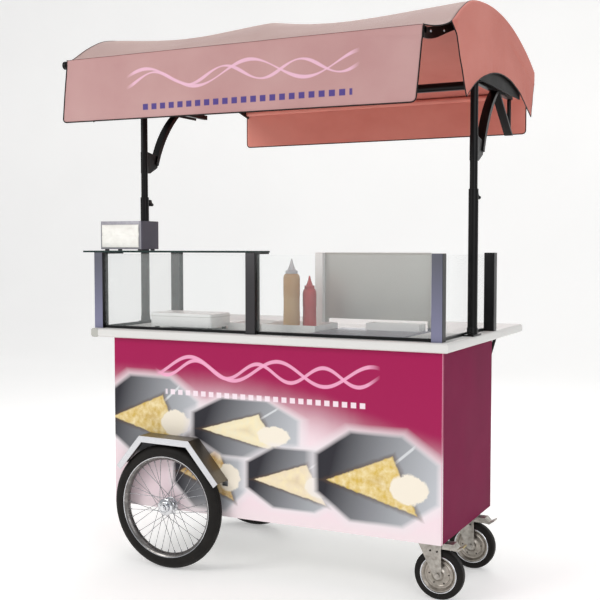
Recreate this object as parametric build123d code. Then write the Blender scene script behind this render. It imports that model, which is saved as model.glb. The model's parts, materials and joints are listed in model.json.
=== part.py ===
from build123d import *
import math
import os

# A push vending cart: a panelled cabinet on two spoked wheels and two braked casters, a worktop
# with a glass guard, and a cloth canopy on two telescopic masts. Millimetres. It is laid out from
# the middle of the cabinet, floor at Z = 0, with customers on the -Y side. The last lines move
# everything so that the origin is on the floor under the middle of the whole outline.

# ---- Driving dimensions ----
# cabinet
cabinet_length = 1516
cabinet_depth = 668
cabinet_bottom = 240
cabinet_top = 976
panel_thickness = 18
rail_width = 30
rail_height = 50
caster_plate_beam = 130
floor_thickness = 12
shelf_top = 628
shelf_setback = 60
door_frame_depth = 46
stile_width = 40
header_height = 30
sill_height = 24
door_thickness = 12
door_gap = 0.4
door_groove = 12
door_overlap = 40
door_lift = 1
pull_radius = 22
pull_proud = 3
# worktop and leaf
worktop_thickness = 38.5
worktop_left = -864
worktop_right = 790
worktop_front = -366
worktop_back = 361
edge_band = 14
edge_round = 12
leaf_gap = 2
leaf_depth = 372
hinge_drop = 5
hinge_radius = 4
hinge_pin_radius = 2
hinge_plate = 2
hinge_plate_reach = 22
hinge_length = 80
hinge_places = (-560, 0, 560)
support_tube_radius = 8
support_pivot_out = 14
support_pivot_height = 815
support_reach = 175
support_pivot_radius = 5
support_ear = 3
leaf_support_gap = 1
# large wheels
wheel_x = -450
wheel_radius = 265
tyre_section_radius = 28
wheel_plane = 380
rim_outer_radius = 216
rim_inner_radius = 201
rim_width = 42
spoke_radius = 1.2
spoke_count = 36
hub_flange_radius = 36
hub_flange_thickness = 4
hub_flange_offset = 20
hub_radius = 16
hub_half_width = 30
axle_radius = 8
running_gap = 0.05
axle_end = 425
nut_width = 24
nut_height = 10
washer_radius = 15
washer_thickness = 2
spacer_radius = 13
end_play = 0.4
# mudguards
fender_sheet = 2
fender_top_left = (-570, 566)
fender_top_right = (-321, 562)
fender_foot_left = (-688, 428)
fender_foot_right = (-178, 396)
fender_lip = 27
fender_outer = 420
fender_bracket = 26
fender_bracket_reach = 14
# casters
caster_wheel_radius = 100
caster_tread_width = 40
caster_trail = 50
caster_x = 669
caster_front_y = -233
caster_rear_y = 200
caster_plate_length = 105
caster_plate_width = 85
caster_plate_thickness = 4
caster_bolt_x = 80
caster_bolt_y = 60
caster_bolt_radius = 4
raceway_radius = 30
raceway_height = 8
kingpin_radius = 6
kingpin_head_radius = 10
fork_sheet = 5
fork_gap = 26
fork_crown = 6
fork_front = 32
fork_foot_radius = 17
caster_axle_radius = 8
caster_disc_radius = 70
caster_hub_radius = 20
brake_pivot_x = 52
fork_back = 66
brake_pivot_drop = 27
brake_pin_radius = 4
# masts
mast_y = 20
mast_inset_right = 25
mast_inset_left = 24
mast_lower_radius = 20
mast_upper_radius = 16
mast_upper_wall = 2
mast_lower_top = 1608
mast_upper_bottom = 1160
mast_upper_top = 2285
mast_foot_thickness = 6
mast_foot_half_width = 21.5
mast_foot_half_length = 55
mast_collar_height = 26
knob_z = 1580
knob_radius = 18
knob_length = 22
knob_stem_radius = 4
# glass guard
post_size = 45
post_height = 335
post_front_y = -320
post_rear_y = 288
middle_post_x = -66
glass_thickness = 6
glass_mast_gap = 5.5
channel_size = 12
channel_groove = 8
glass_below_post = 6
shelf_glass_thickness = 8
shelf_glass_left = -918
shelf_glass_right = -68
shelf_glass_front = -345
shelf_glass_back = -165
shelf_arm_width = 20
shelf_arm_inset = 14
shelf_arm_thickness = 6
# things on the counter
divider_x = 49
divider_y = 90
divider_size = 36
back_panel_y = 100
back_panel_right = 560
back_panel_lift = 45
back_panel_fold = 14
sheet = 2
base_plate_front = -235
base_plate_thickness = 6
tray_height = 30
tray_wall = 3
hot_plate_size = (312, 165, 44)
hot_plate_place = (-442, -205)
hot_plate_foot = 14
dispenser_size = (222, 140, 124)
dispenser_place = (-741, -237)
dispenser_foot = 6
# canopy
canopy_x = -48
eave_half_length = 793
rear_eave_half_length = 780
hood_half_length = 870
fabric = 3
front_valance_foot = 1900
front_valance_lean = 27
front_valance_dip = 12
rear_valance_foot = 1923
hoop_width = 20
hoop_depth = 15
hoop_gap = 1
eave_tube_radius = 12.5
end_cap_radius = 17
end_cap_depth = 16
beam_radius = 17.5
beam_z = 2023
tube_wall = 2
head_plate = 6
head_plate_front = -90
head_plate_back = 570
head_plate_foot = 2032
rail_sheet = 6
rib_depth = 48
rib_gap = 0.5
rib_bolt_z = 2262
# lower edge of the curved end ribs, as (Y, Z)
rib_line = [
    (-530, 2113), (-430, 2127), (-355, 2149), (-227, 2191), (-60, 2230), (147, 2245), (400, 2223), (650, 2168),
    (850, 2112), (983, 2082),
]
brace_width = 36
lug_width = 22
collar_wall = 1.5
flap_foot_front = (-262, 1936)
flap_arch_top = (172, 2087)
flap_arch_ends = {1: (545, 2048), -1: (640, 2088)}
flap_tips = {1: (725, 1972), -1: (756, 2096)}
# roof line from the front eave to the rear eave, as (Y, Z) of the cloth's outer face
roof_line = [
    (-533, 2160.5), (-470, 2164), (-417, 2187), (-300, 2258), (-188, 2307), (-20, 2334),
    (147, 2340), (330, 2325), (500, 2290), (660, 2240), (790, 2185), (890, 2150), (988, 2125.5),
]

nodes = {}


# ---- Shape helpers ----
def block(x0, x1, y0, y1, z0, z1):
    """A box between two corners."""
    size = (abs(x1 - x0), abs(y1 - y0), abs(z1 - z0))
    middle = ((x0 + x1) / 2, (y0 + y1) / 2, (z0 + z1) / 2)
    return Pos(*middle) * Box(*size)


def rod(start, end, radius):
    """A round bar from one point to another."""
    start = Vector(*start)
    run = Vector(*end) - start
    plane = Plane(origin=start, z_dir=run)
    return plane * Cylinder(radius, run.length, align=(Align.CENTER, Align.CENTER, Align.MIN))


def pipe(start, end, outer, inner):
    """A round tube from one point to another."""
    return rod(start, end, outer) - rod(start, end, inner)


def slab_yz(points, x0, x1):
    """A plate of the outline (Y, Z), between two X values."""
    corners = [Vector(x0, y, z) for y, z in points]
    face = Face(Wire.make_polygon(corners, close=True))
    return extrude(face, amount=x1 - x0, dir=(1, 0, 0))


def slab_xz(points, y0, y1):
    """A plate of the outline (X, Z), between two Y values."""
    corners = [Vector(x, y0, z) for x, z in points]
    face = Face(Wire.make_polygon(corners, close=True))
    return extrude(face, amount=y1 - y0, dir=(0, 1, 0))


def hexagon(centre, across, height, direction):
    """A hexagonal nut or bolt head standing on centre."""
    plane = Plane(origin=centre, z_dir=direction)
    sketch = plane * RegularPolygon(across / 2, 6, major_radius=False)
    return extrude(sketch, amount=height)


def solids_of(shape):
    """The separate solids in a shape or a list of shapes."""
    if isinstance(shape, (list, tuple)):
        return [solid for item in shape for solid in solids_of(item)]
    return list(shape.solids())


def keep(name, *shapes):
    """Files solids under a node's name."""
    nodes.setdefault(name, []).extend(solids_of(shapes))


# ---- Cabinet ----
half_length = cabinet_length / 2
half_depth = cabinet_depth / 2
inner_half_length = half_length - panel_thickness
inner_front = -half_depth + panel_thickness
frame_top = cabinet_bottom + rail_height
axle_z = wheel_radius
floor_top = frame_top + floor_thickness


def base_frame():
    """Welded tube frame: side, end and cross rails, and the plate that the casters bolt to."""
    outline = block(-inner_half_length, inner_half_length, inner_front, half_depth, cabinet_bottom, frame_top)
    hole = block(
        -inner_half_length + rail_width, inner_half_length - rail_width,
        inner_front + rail_width, half_depth - rail_width, cabinet_bottom - 1, frame_top + 1,
    )
    frame = outline - hole
    for x in (wheel_x - 2 * rail_width, wheel_x + 2 * rail_width, -wheel_x / 2):
        frame += block(
            x - rail_width / 2, x + rail_width / 2, inner_front, half_depth, cabinet_bottom, frame_top
        )
    plate_left = inner_half_length - caster_plate_beam
    frame += block(
        plate_left, inner_half_length, inner_front, half_depth, cabinet_bottom,
        cabinet_bottom + caster_plate_thickness,
    )
    for y in (caster_front_y, caster_rear_y):
        for dx in (-caster_bolt_x / 2, caster_bolt_x / 2):
            for dy in (-caster_bolt_y / 2, caster_bolt_y / 2):
                spot = (caster_x + dx, y + dy, cabinet_bottom - 1)
                frame -= rod(spot, (spot[0], spot[1], frame_top + 1), caster_bolt_radius + running_gap)
    bore = rod((wheel_x, -cabinet_depth, axle_z), (wheel_x, cabinet_depth, axle_z), axle_radius + running_gap)
    return frame - bore


def front_panel():
    """Laminated front panel, drilled for the axle."""
    panel = block(-half_length, half_length, -half_depth, inner_front, cabinet_bottom, cabinet_top)
    hole = rod((wheel_x, -cabinet_depth, axle_z), (wheel_x, 0, axle_z), axle_radius + 1)
    return panel - hole


def end_panel(side):
    """Laminated end panel behind the front panel."""
    inner = side * inner_half_length
    outer = side * half_length
    return block(inner, outer, inner_front, half_depth, cabinet_bottom, cabinet_top)


door_frame_front = half_depth - door_frame_depth
inner_track_y = door_frame_front + door_frame_depth / 4
outer_track_y = half_depth - door_frame_depth / 4
opening_half = inner_half_length - stile_width
opening_foot = floor_top + sill_height
opening_head = cabinet_top - header_height


def door_frame():
    """Rear frame with two tracks for the sliding doors."""
    frame = block(
        -inner_half_length, inner_half_length, door_frame_front, half_depth, floor_top, cabinet_top
    )
    frame -= block(
        -opening_half, opening_half, door_frame_front - 1, half_depth + 1, opening_foot, opening_head
    )
    groove_half = door_thickness / 2 + door_gap
    for y in (inner_track_y, outer_track_y):
        frame -= block(
            -opening_half, opening_half, y - groove_half, y + groove_half,
            opening_foot - door_groove, opening_head + door_groove,
        )
    return frame


door_width = opening_half + door_overlap / 2


def sliding_door(side, track_y):
    """One door with a round pull set in its outer face."""
    edge = side * (opening_half - door_gap)
    foot = opening_foot - door_groove + door_lift
    head = opening_head + door_groove - 4 * door_lift
    face = track_y + door_thickness / 2
    panel = block(edge, edge - side * door_width, track_y - door_thickness / 2, face, foot, head)
    pull_x = edge - side * 3 * pull_radius
    pull_z = (opening_foot + opening_head) / 2
    recess_back = face - door_thickness / 3
    recess = rod((pull_x, recess_back, pull_z), (pull_x, face + 1, pull_z), pull_radius)
    cup = rod((pull_x, recess_back, pull_z), (pull_x, face + pull_proud, pull_z), pull_radius - running_gap)
    cup -= rod(
        (pull_x, recess_back + sheet, pull_z), (pull_x, face + pull_proud + 1, pull_z), pull_radius - sheet
    )
    return [panel - recess, cup]


keep("base_frame", base_frame())
keep("front_panel", front_panel())
keep("left_end_panel", end_panel(-1))
keep("right_end_panel", end_panel(1))
keep(
    "cabinet_shelves",
    block(-inner_half_length, inner_half_length, inner_front, half_depth, frame_top, floor_top),
    block(
        -inner_half_length, inner_half_length, inner_front, door_frame_front - shelf_setback,
        shelf_top - panel_thickness, shelf_top,
    ),
)
keep("rear_frame", door_frame())
keep("sliding_door_left", *sliding_door(-1, inner_track_y))
keep("sliding_door_right", *sliding_door(1, outer_track_y))

# ---- Worktop and rear leaf ----
worktop_top = cabinet_top + worktop_thickness


def edged_board(front, back, wrap_front, wrap_back):
    """A board with a rounded band on both ends and on its front or its back."""
    whole = block(worktop_left, worktop_right, front, back, cabinet_top, worktop_top)
    core_front = front + edge_band * wrap_front
    core_back = back - edge_band * wrap_back
    core = block(
        worktop_left + edge_band, worktop_right - edge_band, core_front, core_back, cabinet_top, worktop_top
    )
    band = whole - core
    edge_y = front if wrap_front else back
    rounded = [
        edge for edge in whole.edges()
        if edge.bounding_box().size.Z < 1 and (
            abs(edge.center().X - worktop_left) < 1
            or abs(edge.center().X - worktop_right) < 1
            or abs(edge.center().Y - edge_y) < 1
        )
    ]
    soft = fillet(rounded, min(edge_round, worktop_thickness / 2 - 1))
    return core, band & soft


top_core, top_band = edged_board(worktop_front, worktop_back, 1, 0)
keep("worktop", top_core, top_band)

leaf_front = worktop_back + leaf_gap
leaf_back = leaf_front + leaf_depth
leaf_core, leaf_band = edged_board(leaf_front, leaf_back, 0, 1)
keep("rear_leaf", leaf_core, leaf_band)

hinge_y = worktop_back + leaf_gap / 2
hinge_z = cabinet_top - hinge_drop


def hinge_piece(x, offset, length, direction, bore):
    """A knuckle with its plate under the board, on one side of the pin."""
    x0 = x + offset
    knuckle = rod((x0, hinge_y, hinge_z), (x0 + length, hinge_y, hinge_z), hinge_radius)
    inner = hinge_y + direction * (hinge_radius - hinge_plate)
    plate = block(
        x0, x0 + length, inner, hinge_y + direction * hinge_plate_reach, cabinet_top - hinge_plate, cabinet_top
    )
    web = block(x0, x0 + length, inner, hinge_y + direction * hinge_radius, hinge_z, cabinet_top)
    hole = rod((x0 - 1, hinge_y, hinge_z), (x0 + length + 1, hinge_y, hinge_z), bore)
    return knuckle + plate + web - hole


for hinge_x in hinge_places:
    third = hinge_length / 3
    middle = hinge_piece(hinge_x, -third / 2, third, -1, hinge_pin_radius)
    pin_half = hinge_length / 2
    pin = rod((hinge_x - pin_half, hinge_y, hinge_z), (hinge_x + pin_half, hinge_y, hinge_z), hinge_pin_radius)
    keep("leaf_fittings", middle + pin)
    for offset in (-third * 1.5, third / 2 + 1):
        keep(
            "leaf_hinge_moving",
            hinge_piece(hinge_x, offset, third - 1, 1, hinge_pin_radius + running_gap),
        )

# folding support under the leaf: two arms and a cross bar, pivoted on the rear stiles
support_x = inner_half_length - stile_width / 2
support_pivot_y = half_depth + support_pivot_out
support_tip_z = cabinet_top - support_tube_radius - leaf_support_gap
support_tip_y = support_pivot_y + support_reach


def leaf_support():
    """A U of round tube with a bored eye at the foot of each arm."""
    pivot_half = support_tube_radius
    bar_half = support_x + support_tube_radius
    frame = rod(
        (-bar_half, support_tip_y, support_tip_z), (bar_half, support_tip_y, support_tip_z),
        support_tube_radius,
    )
    for side in (-1, 1):
        x = side * support_x
        foot = (x, support_pivot_y, support_pivot_height)
        frame += rod(foot, (x, support_tip_y, support_tip_z), support_tube_radius - 0.5)
        frame += rod(
            (x - pivot_half, foot[1], foot[2]), (x + pivot_half, foot[1], foot[2]), support_tube_radius
        )
        frame -= rod(
            (x - 2 * pivot_half, foot[1], foot[2]), (x + 2 * pivot_half, foot[1], foot[2]),
            support_pivot_radius + running_gap,
        )
    return frame


def support_bracket(side):
    """Two ears and a pin on a plate screwed to the stile."""
    x = side * support_x
    ear_in = support_tube_radius + 0.5
    ear_out = ear_in + support_ear
    height = 2 * support_tube_radius
    low = support_pivot_height - height / 2
    high = support_pivot_height + height / 2
    plate = block(x - ear_out, x + ear_out, half_depth, half_depth + support_ear, low - 10, high + 10)
    for turn in (-1, 1):
        plate += block(
            x + turn * ear_in, x + turn * ear_out, half_depth, support_pivot_y + support_tube_radius, low, high
        )
    pin = rod(
        (x - ear_out, support_pivot_y, support_pivot_height),
        (x + ear_out, support_pivot_y, support_pivot_height), support_pivot_radius,
    )
    return plate + pin


keep("leaf_support", leaf_support())
keep("leaf_fittings", support_bracket(-1), support_bracket(1))

# ---- Large wheels and axle ----
axle_parts = [rod((wheel_x, -axle_end, axle_z), (wheel_x, axle_end, axle_z), axle_radius)]


def wheel(side):
    """Tyre, rim, spokes and hub of one wheel; side is -1 at the front and 1 at the rear."""
    y = side * wheel_plane
    axis = Axis((wheel_x, y, axle_z), (0, 1, 0))
    section_centre = wheel_radius - tyre_section_radius
    side_plane = Plane(origin=(wheel_x, y, axle_z), x_dir=(0, 0, 1), z_dir=(1, 0, 0))
    circle = side_plane * Pos(section_centre, 0) * Circle(tyre_section_radius)
    seat = side_plane * Pos(rim_outer_radius / 2, 0) * Rectangle(rim_outer_radius, 4 * tyre_section_radius)
    tyre = revolve(circle - seat, axis, 360)
    start = (wheel_x, y - rim_width / 2, axle_z)
    end = (wheel_x, y + rim_width / 2, axle_z)
    rim = pipe(start, end, rim_outer_radius, rim_inner_radius)
    hub = rod((wheel_x, y - hub_half_width, axle_z), (wheel_x, y + hub_half_width, axle_z), hub_radius)
    for offset in (-hub_flange_offset, hub_flange_offset):
        low = y + offset - hub_flange_thickness / 2
        hub += rod((wheel_x, low, axle_z), (wheel_x, low + hub_flange_thickness, axle_z), hub_flange_radius)
    hub -= rod(
        (wheel_x, y - 2 * hub_half_width, axle_z), (wheel_x, y + 2 * hub_half_width, axle_z),
        axle_radius + running_gap,
    )
    spokes = []
    lean = math.radians(48)
    for index in range(spoke_count):
        rim_angle = 2 * math.pi * index / spoke_count
        turn = lean if (index // 2) % 2 else -lean
        flange = hub_flange_offset if index % 2 else -hub_flange_offset
        root = hub_flange_radius - 3
        reach = rim_inner_radius + 1
        inner = (
            wheel_x + root * math.cos(rim_angle + turn), y + flange, axle_z + root * math.sin(rim_angle + turn)
        )
        outer = (wheel_x + reach * math.cos(rim_angle), y, axle_z + reach * math.sin(rim_angle))
        spokes.append(rod(inner, outer, spoke_radius))
    return tyre, rim, spokes, hub


for name, side in (("front", -1), ("rear", 1)):
    tyre, rim, spokes, hub = wheel(side)
    keep(name + "_wheel_tyre", tyre)
    keep(name + "_wheel_rim", rim)
    keep(name + "_wheel_spokes", spokes)
    keep(name + "_wheel_hub", hub)
    hub_outer = side * (wheel_plane + hub_half_width + end_play)
    hub_inner = side * (wheel_plane - hub_half_width - end_play)
    nut_start = hub_outer + side * washer_thickness
    bore = axle_radius + running_gap
    hole = rod((wheel_x, -2 * axle_end, axle_z), (wheel_x, 2 * axle_end, axle_z), bore)
    axle_parts.append(rod((wheel_x, hub_outer, axle_z), (wheel_x, nut_start, axle_z), washer_radius) - hole)
    nut = hexagon((wheel_x, nut_start, axle_z), nut_width, nut_height, (0, side, 0))
    axle_parts.append(nut - hole)
    rail_face = -half_depth if side < 0 else half_depth
    axle_parts.append(rod((wheel_x, rail_face, axle_z), (wheel_x, hub_inner, axle_z), spacer_radius) - hole)
keep("wheel_axle", axle_parts)


# ---- Mudguards ----
def fender_outline(inset):
    """Open outline of the three facets, moved in by inset, from the left foot to the right foot."""
    corners = [
        Vector(*fender_foot_left), Vector(*fender_top_left), Vector(*fender_top_right), Vector(*fender_foot_right)
    ]
    runs = [(corners[index + 1] - corners[index]).normalized() for index in range(3)]
    inward = [Vector(run.Y, -run.X) for run in runs]
    moved = [corners[0] + inward[0] * inset]
    for index in (1, 2):
        both = inward[index - 1] + inward[index]
        moved.append(corners[index] + both * (inset / (1 + inward[index - 1].dot(inward[index]))))
    moved.append(corners[3] + inward[2] * inset)
    return [(point.X, point.Y) for point in moved]


def fender(side):
    """Folded sheet: three facets with a lip turned down along the outer edge."""
    outer = side * fender_outer
    skin = slab_xz(fender_outline(0) + fender_outline(fender_sheet)[::-1], side * half_depth, outer)
    lip = slab_xz(fender_outline(0) + fender_outline(fender_lip)[::-1], outer - side * fender_sheet, outer)
    return skin + lip


def fender_feet(side):
    """Angle brackets that hold the mudguard's feet to the cabinet."""
    feet = []
    for end, (foot_x, foot_z) in ((-1, fender_foot_left), (1, fender_foot_right)):
        outer = foot_x
        inner = foot_x - end * fender_bracket
        wall = side * half_depth
        feet.append(
            block(inner, outer, wall, wall + side * fender_bracket_reach, foot_z - 2 * fender_sheet, foot_z - fender_sheet)
            + block(inner, outer, wall, wall + side * fender_sheet, foot_z - fender_bracket, foot_z - fender_sheet)
        )
    return feet


keep("front_fender", fender(-1))
keep("rear_fender", fender(1))
keep("fender_brackets", fender_feet(-1), fender_feet(1))

# ---- Casters ----
plate_foot = cabinet_bottom - caster_plate_thickness
raceway_foot = plate_foot - raceway_height
crown_top = raceway_foot - end_play
crown_foot = crown_top - fork_crown
pin_head_top = crown_foot - end_play
pin_head_foot = pin_head_top - 4
caster_axle_x = caster_x + caster_trail
leg_outer = fork_gap + fork_sheet
brake_pivot_z = cabinet_bottom - brake_pivot_drop
bolt_head = 5.5


def caster_plate(y):
    """Top plate with its raceway and kingpin, and the four bolts that hold it."""
    plate = block(
        caster_x - caster_plate_length / 2, caster_x + caster_plate_length / 2,
        y - caster_plate_width / 2, y + caster_plate_width / 2, plate_foot, cabinet_bottom,
    )
    plate += rod((caster_x, y, raceway_foot), (caster_x, y, plate_foot), raceway_radius)
    plate += rod((caster_x, y, pin_head_foot), (caster_x, y, raceway_foot), kingpin_radius)
    plate += rod((caster_x, y, pin_head_foot), (caster_x, y, pin_head_top), kingpin_head_radius)
    bolts = []
    for dx in (-caster_bolt_x / 2, caster_bolt_x / 2):
        for dy in (-caster_bolt_y / 2, caster_bolt_y / 2):
            spot = (caster_x + dx, y + dy)
            bore = rod((*spot, plate_foot - 1), (*spot, cabinet_bottom + 1), caster_bolt_radius + running_gap)
            plate -= bore
            shank_top = cabinet_bottom + caster_plate_thickness + bolt_head
            bolt = rod((*spot, plate_foot), (*spot, shank_top), caster_bolt_radius)
            bolt += hexagon((*spot, plate_foot), 13, bolt_head, (0, 0, -1))
            bolts.append(bolt)
    return [plate, *bolts]


def caster_fork(y):
    """Pressed fork with a bored crown, and the axle bolt and sleeve between its legs."""
    leg_outline = [
        (caster_x - fork_front, crown_top), (caster_x + fork_back, crown_top), (caster_x + fork_back - 2, brake_pivot_z - 9),
        (caster_axle_x + fork_foot_radius, caster_wheel_radius),
        (caster_axle_x + fork_foot_radius * 0.7, caster_wheel_radius - fork_foot_radius * 0.7),
        (caster_axle_x, caster_wheel_radius - fork_foot_radius),
        (caster_axle_x - fork_foot_radius * 0.7, caster_wheel_radius - fork_foot_radius * 0.7),
    ]
    fork = block(
        caster_x - fork_front, caster_x + fork_front + 8, y - leg_outer, y + leg_outer, crown_foot, crown_top
    )
    fork -= rod((caster_x, y, crown_foot - 1), (caster_x, y, crown_top + 1), kingpin_radius + running_gap)
    for turn in (-1, 1):
        fork += slab_xz(leg_outline, y + turn * fork_gap, y + turn * leg_outer)
    axle_hole = rod(
        (caster_axle_x, y - 2 * leg_outer, caster_wheel_radius),
        (caster_axle_x, y + 2 * leg_outer, caster_wheel_radius), caster_axle_radius + running_gap,
    )
    brake_hole = rod(
        (caster_x + brake_pivot_x, y - 2 * leg_outer, brake_pivot_z),
        (caster_x + brake_pivot_x, y + 2 * leg_outer, brake_pivot_z), brake_pin_radius + running_gap,
    )
    fork = fork - axle_hole - brake_hole
    bolt = rod(
        (caster_axle_x, y - leg_outer, caster_wheel_radius),
        (caster_axle_x, y + leg_outer, caster_wheel_radius), caster_axle_radius,
    )
    for turn in (-1, 1):
        bolt += hexagon((caster_axle_x, y + turn * leg_outer, caster_wheel_radius), 19, 8, (0, turn, 0))
    return [fork, bolt]


def caster_wheel(y):
    """Steel disc wheel with a running bore."""
    centre = (caster_axle_x, caster_wheel_radius)
    disc = pipe(
        (centre[0], y - 17, centre[1]), (centre[0], y + 17, centre[1]), caster_disc_radius, caster_disc_radius - 6
    )
    disc += rod((centre[0], y - 4, centre[1]), (centre[0], y + 4, centre[1]), caster_disc_radius - 3)
    disc += rod(
        (centre[0], y - fork_gap + end_play, centre[1]), (centre[0], y + fork_gap - end_play, centre[1]),
        caster_hub_radius,
    )
    return disc - rod(
        (centre[0], y - 40, centre[1]), (centre[0], y + 40, centre[1]), caster_axle_radius + running_gap
    )


def caster_tyre(y):
    """Solid rubber tyre with rounded shoulders."""
    ring = pipe(
        (caster_axle_x, y - caster_tread_width / 2, caster_wheel_radius),
        (caster_axle_x, y + caster_tread_width / 2, caster_wheel_radius),
        caster_wheel_radius, caster_disc_radius,
    )
    shoulders = [
        edge for edge in ring.edges()
        if edge.geom_type == GeomType.CIRCLE and edge.radius > caster_wheel_radius - 1
    ]
    return fillet(shoulders, 10)


def brake_pedal(y):
    """Brake housing on a cross pin, with a turned-up toe that sticks out past the tyre."""
    pivot = caster_x + brake_pivot_x
    width = fork_gap - 2
    outline = [
        (pivot - 8, brake_pivot_z - 9), (pivot + 55, brake_pivot_z - 9), (pivot + 78, brake_pivot_z - 12),
        (pivot + 100, brake_pivot_z + 4), (pivot + 98, brake_pivot_z + 9), (pivot + 76, brake_pivot_z - 3),
        (pivot + 60, brake_pivot_z + 14), (pivot + 10, brake_pivot_z + 14), (pivot - 8, brake_pivot_z + 6),
    ]
    housing = slab_xz(outline, y - width, y + width)
    pin = rod((pivot, y - leg_outer, brake_pivot_z), (pivot, y + leg_outer, brake_pivot_z), brake_pin_radius)
    return housing + pin


for name, y in (("front", caster_front_y), ("rear", caster_rear_y)):
    keep("caster_plates", *caster_plate(y))
    keep(name + "_caster_fork", *caster_fork(y))
    keep(name + "_caster_wheel", caster_wheel(y))
    keep(name + "_caster_tyre", caster_tyre(y))
    keep(name + "_brake_pedal", brake_pedal(y))

# ---- Masts ----
mast_places = {-1: worktop_left + mast_inset_left, 1: worktop_right - mast_inset_right}
foot_top = worktop_top + mast_foot_thickness
sleeve_radius = mast_upper_radius + running_gap


def mast_foot(x):
    """Base flange with a collar and two bolts."""
    foot = block(
        x - mast_foot_half_width, x + mast_foot_half_width,
        mast_y - mast_foot_half_length, mast_y + mast_foot_half_length, worktop_top, foot_top,
    )
    foot += rod((x, mast_y, foot_top), (x, mast_y, foot_top + mast_collar_height), mast_lower_radius + 2)
    foot -= rod(
        (x, mast_y, foot_top), (x, mast_y, foot_top + mast_collar_height + 1), mast_lower_radius + running_gap
    )
    bolts = []
    for dy in (-42, 42):
        bolts.append(hexagon((x, mast_y + dy, foot_top), 13, bolt_head, (0, 0, 1)))
    return [foot, *bolts]


def mast_lower(x):
    """Lower mast tube, tapped through at its top for the clamp knob."""
    tube = pipe((x, mast_y, foot_top), (x, mast_y, mast_lower_top), mast_lower_radius, sleeve_radius)
    return tube - rod((x, mast_y, knob_z), (x, mast_y + 60, knob_z), knob_stem_radius + running_gap)


def mast_upper(x):
    """Upper mast tube, which slides in the lower one."""
    return pipe(
        (x, mast_y, mast_upper_bottom), (x, mast_y, mast_upper_top), mast_upper_radius,
        mast_upper_radius - mast_upper_wall,
    )


def clamp_knob(x):
    """Clamp screw with a three-lobed knob; its tip stops short of the upper tube."""
    tip = mast_y + sleeve_radius + 0.3
    grip = mast_y + mast_lower_radius + 6
    knob = rod((x, tip, knob_z), (x, grip, knob_z), knob_stem_radius)
    knob += rod((x, grip, knob_z), (x, grip + knob_length, knob_z), knob_radius * 0.6)
    for index in range(3):
        angle = 2 * math.pi * index / 3 + math.pi / 2
        lobe_x = x + knob_radius * 0.62 * math.cos(angle)
        lobe_z = knob_z + knob_radius * 0.62 * math.sin(angle)
        knob += rod((lobe_x, grip + 6, lobe_z), (lobe_x, grip + knob_length, lobe_z), knob_radius * 0.42)
    return knob


for side, name in ((-1, "left"), (1, "right")):
    mast_x = mast_places[side]
    keep("mast_feet", *mast_foot(mast_x))
    keep("mast_lower_tubes", mast_lower(mast_x))
    keep("mast_upper_tubes", mast_upper(mast_x))
    keep("clamp_knob_" + name, clamp_knob(mast_x))

# ---- Glass guard ----
post_top = worktop_top + post_height
glass_top = post_top - glass_below_post
right_glass_outer = mast_places[1] - mast_lower_radius - glass_mast_gap
right_glass_inner = right_glass_outer - glass_thickness
left_glass_outer = mast_places[-1] + mast_lower_radius + glass_mast_gap
left_glass_inner = left_glass_outer + glass_thickness
half_post = post_size / 2
front_right_x = right_glass_outer - glass_thickness / 2
rear_right_x = right_glass_outer + half_post
left_post_x = left_glass_outer - half_post
post_places = [
    (left_post_x, post_front_y), (middle_post_x, post_front_y), (front_right_x, post_front_y),
    (left_post_x, post_rear_y), (rear_right_x, post_rear_y),
]
for x, y in post_places:
    post = block(x - half_post, x + half_post, y - half_post, y + half_post, worktop_top, post_top)
    keep("guard_posts", fillet(post.edges().filter_by(Axis.Z), 3))


def glazing(x0, x1, y0, y1):
    """A pane standing in its channel; the pane runs along X where it is longer that way."""
    along_x = abs(x1 - x0) > abs(y1 - y0)
    extra = (channel_size - glass_thickness) / 2
    dx = 0 if along_x else extra
    dy = extra if along_x else 0
    channel = block(x0 - dx, x1 + dx, y0 - dy, y1 + dy, worktop_top, worktop_top + channel_size)
    groove_foot = worktop_top + channel_size - channel_groove
    channel -= block(x0, x1, y0, y1, groove_foot, worktop_top + channel_size + 1)
    pane = block(x0, x1, y0, y1, groove_foot, glass_top)
    return channel, pane


half_glass = glass_thickness / 2
end_glass_front = post_front_y + half_post
end_glass_back = post_rear_y - half_post
bays = {
    "front_glass_left": (
        left_post_x + half_post, middle_post_x - half_post, post_front_y - half_glass, post_front_y + half_glass
    ),
    "front_glass_right": (
        middle_post_x + half_post, front_right_x - half_post, post_front_y - half_glass, post_front_y + half_glass
    ),
    "end_glass_left": (left_glass_outer, left_glass_inner, end_glass_front, end_glass_back),
    "end_glass_right": (right_glass_inner, right_glass_outer, end_glass_front, end_glass_back),
}
for bay in bays.values():
    channel, pane = glazing(*bay)
    keep("guard_fittings", channel)
    keep("guard_glass", pane)

keep(
    "glass_shelf",
    block(
        shelf_glass_left, shelf_glass_right, shelf_glass_front, shelf_glass_back,
        post_top, post_top + shelf_glass_thickness,
    ),
)
for x in (left_post_x, middle_post_x - shelf_arm_inset):
    keep(
        "guard_fittings",
        block(
            x - shelf_arm_width / 2, x + shelf_arm_width / 2, post_front_y + half_post, shelf_glass_back - 4,
            post_top - shelf_arm_thickness, post_top,
        ),
    )

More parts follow.
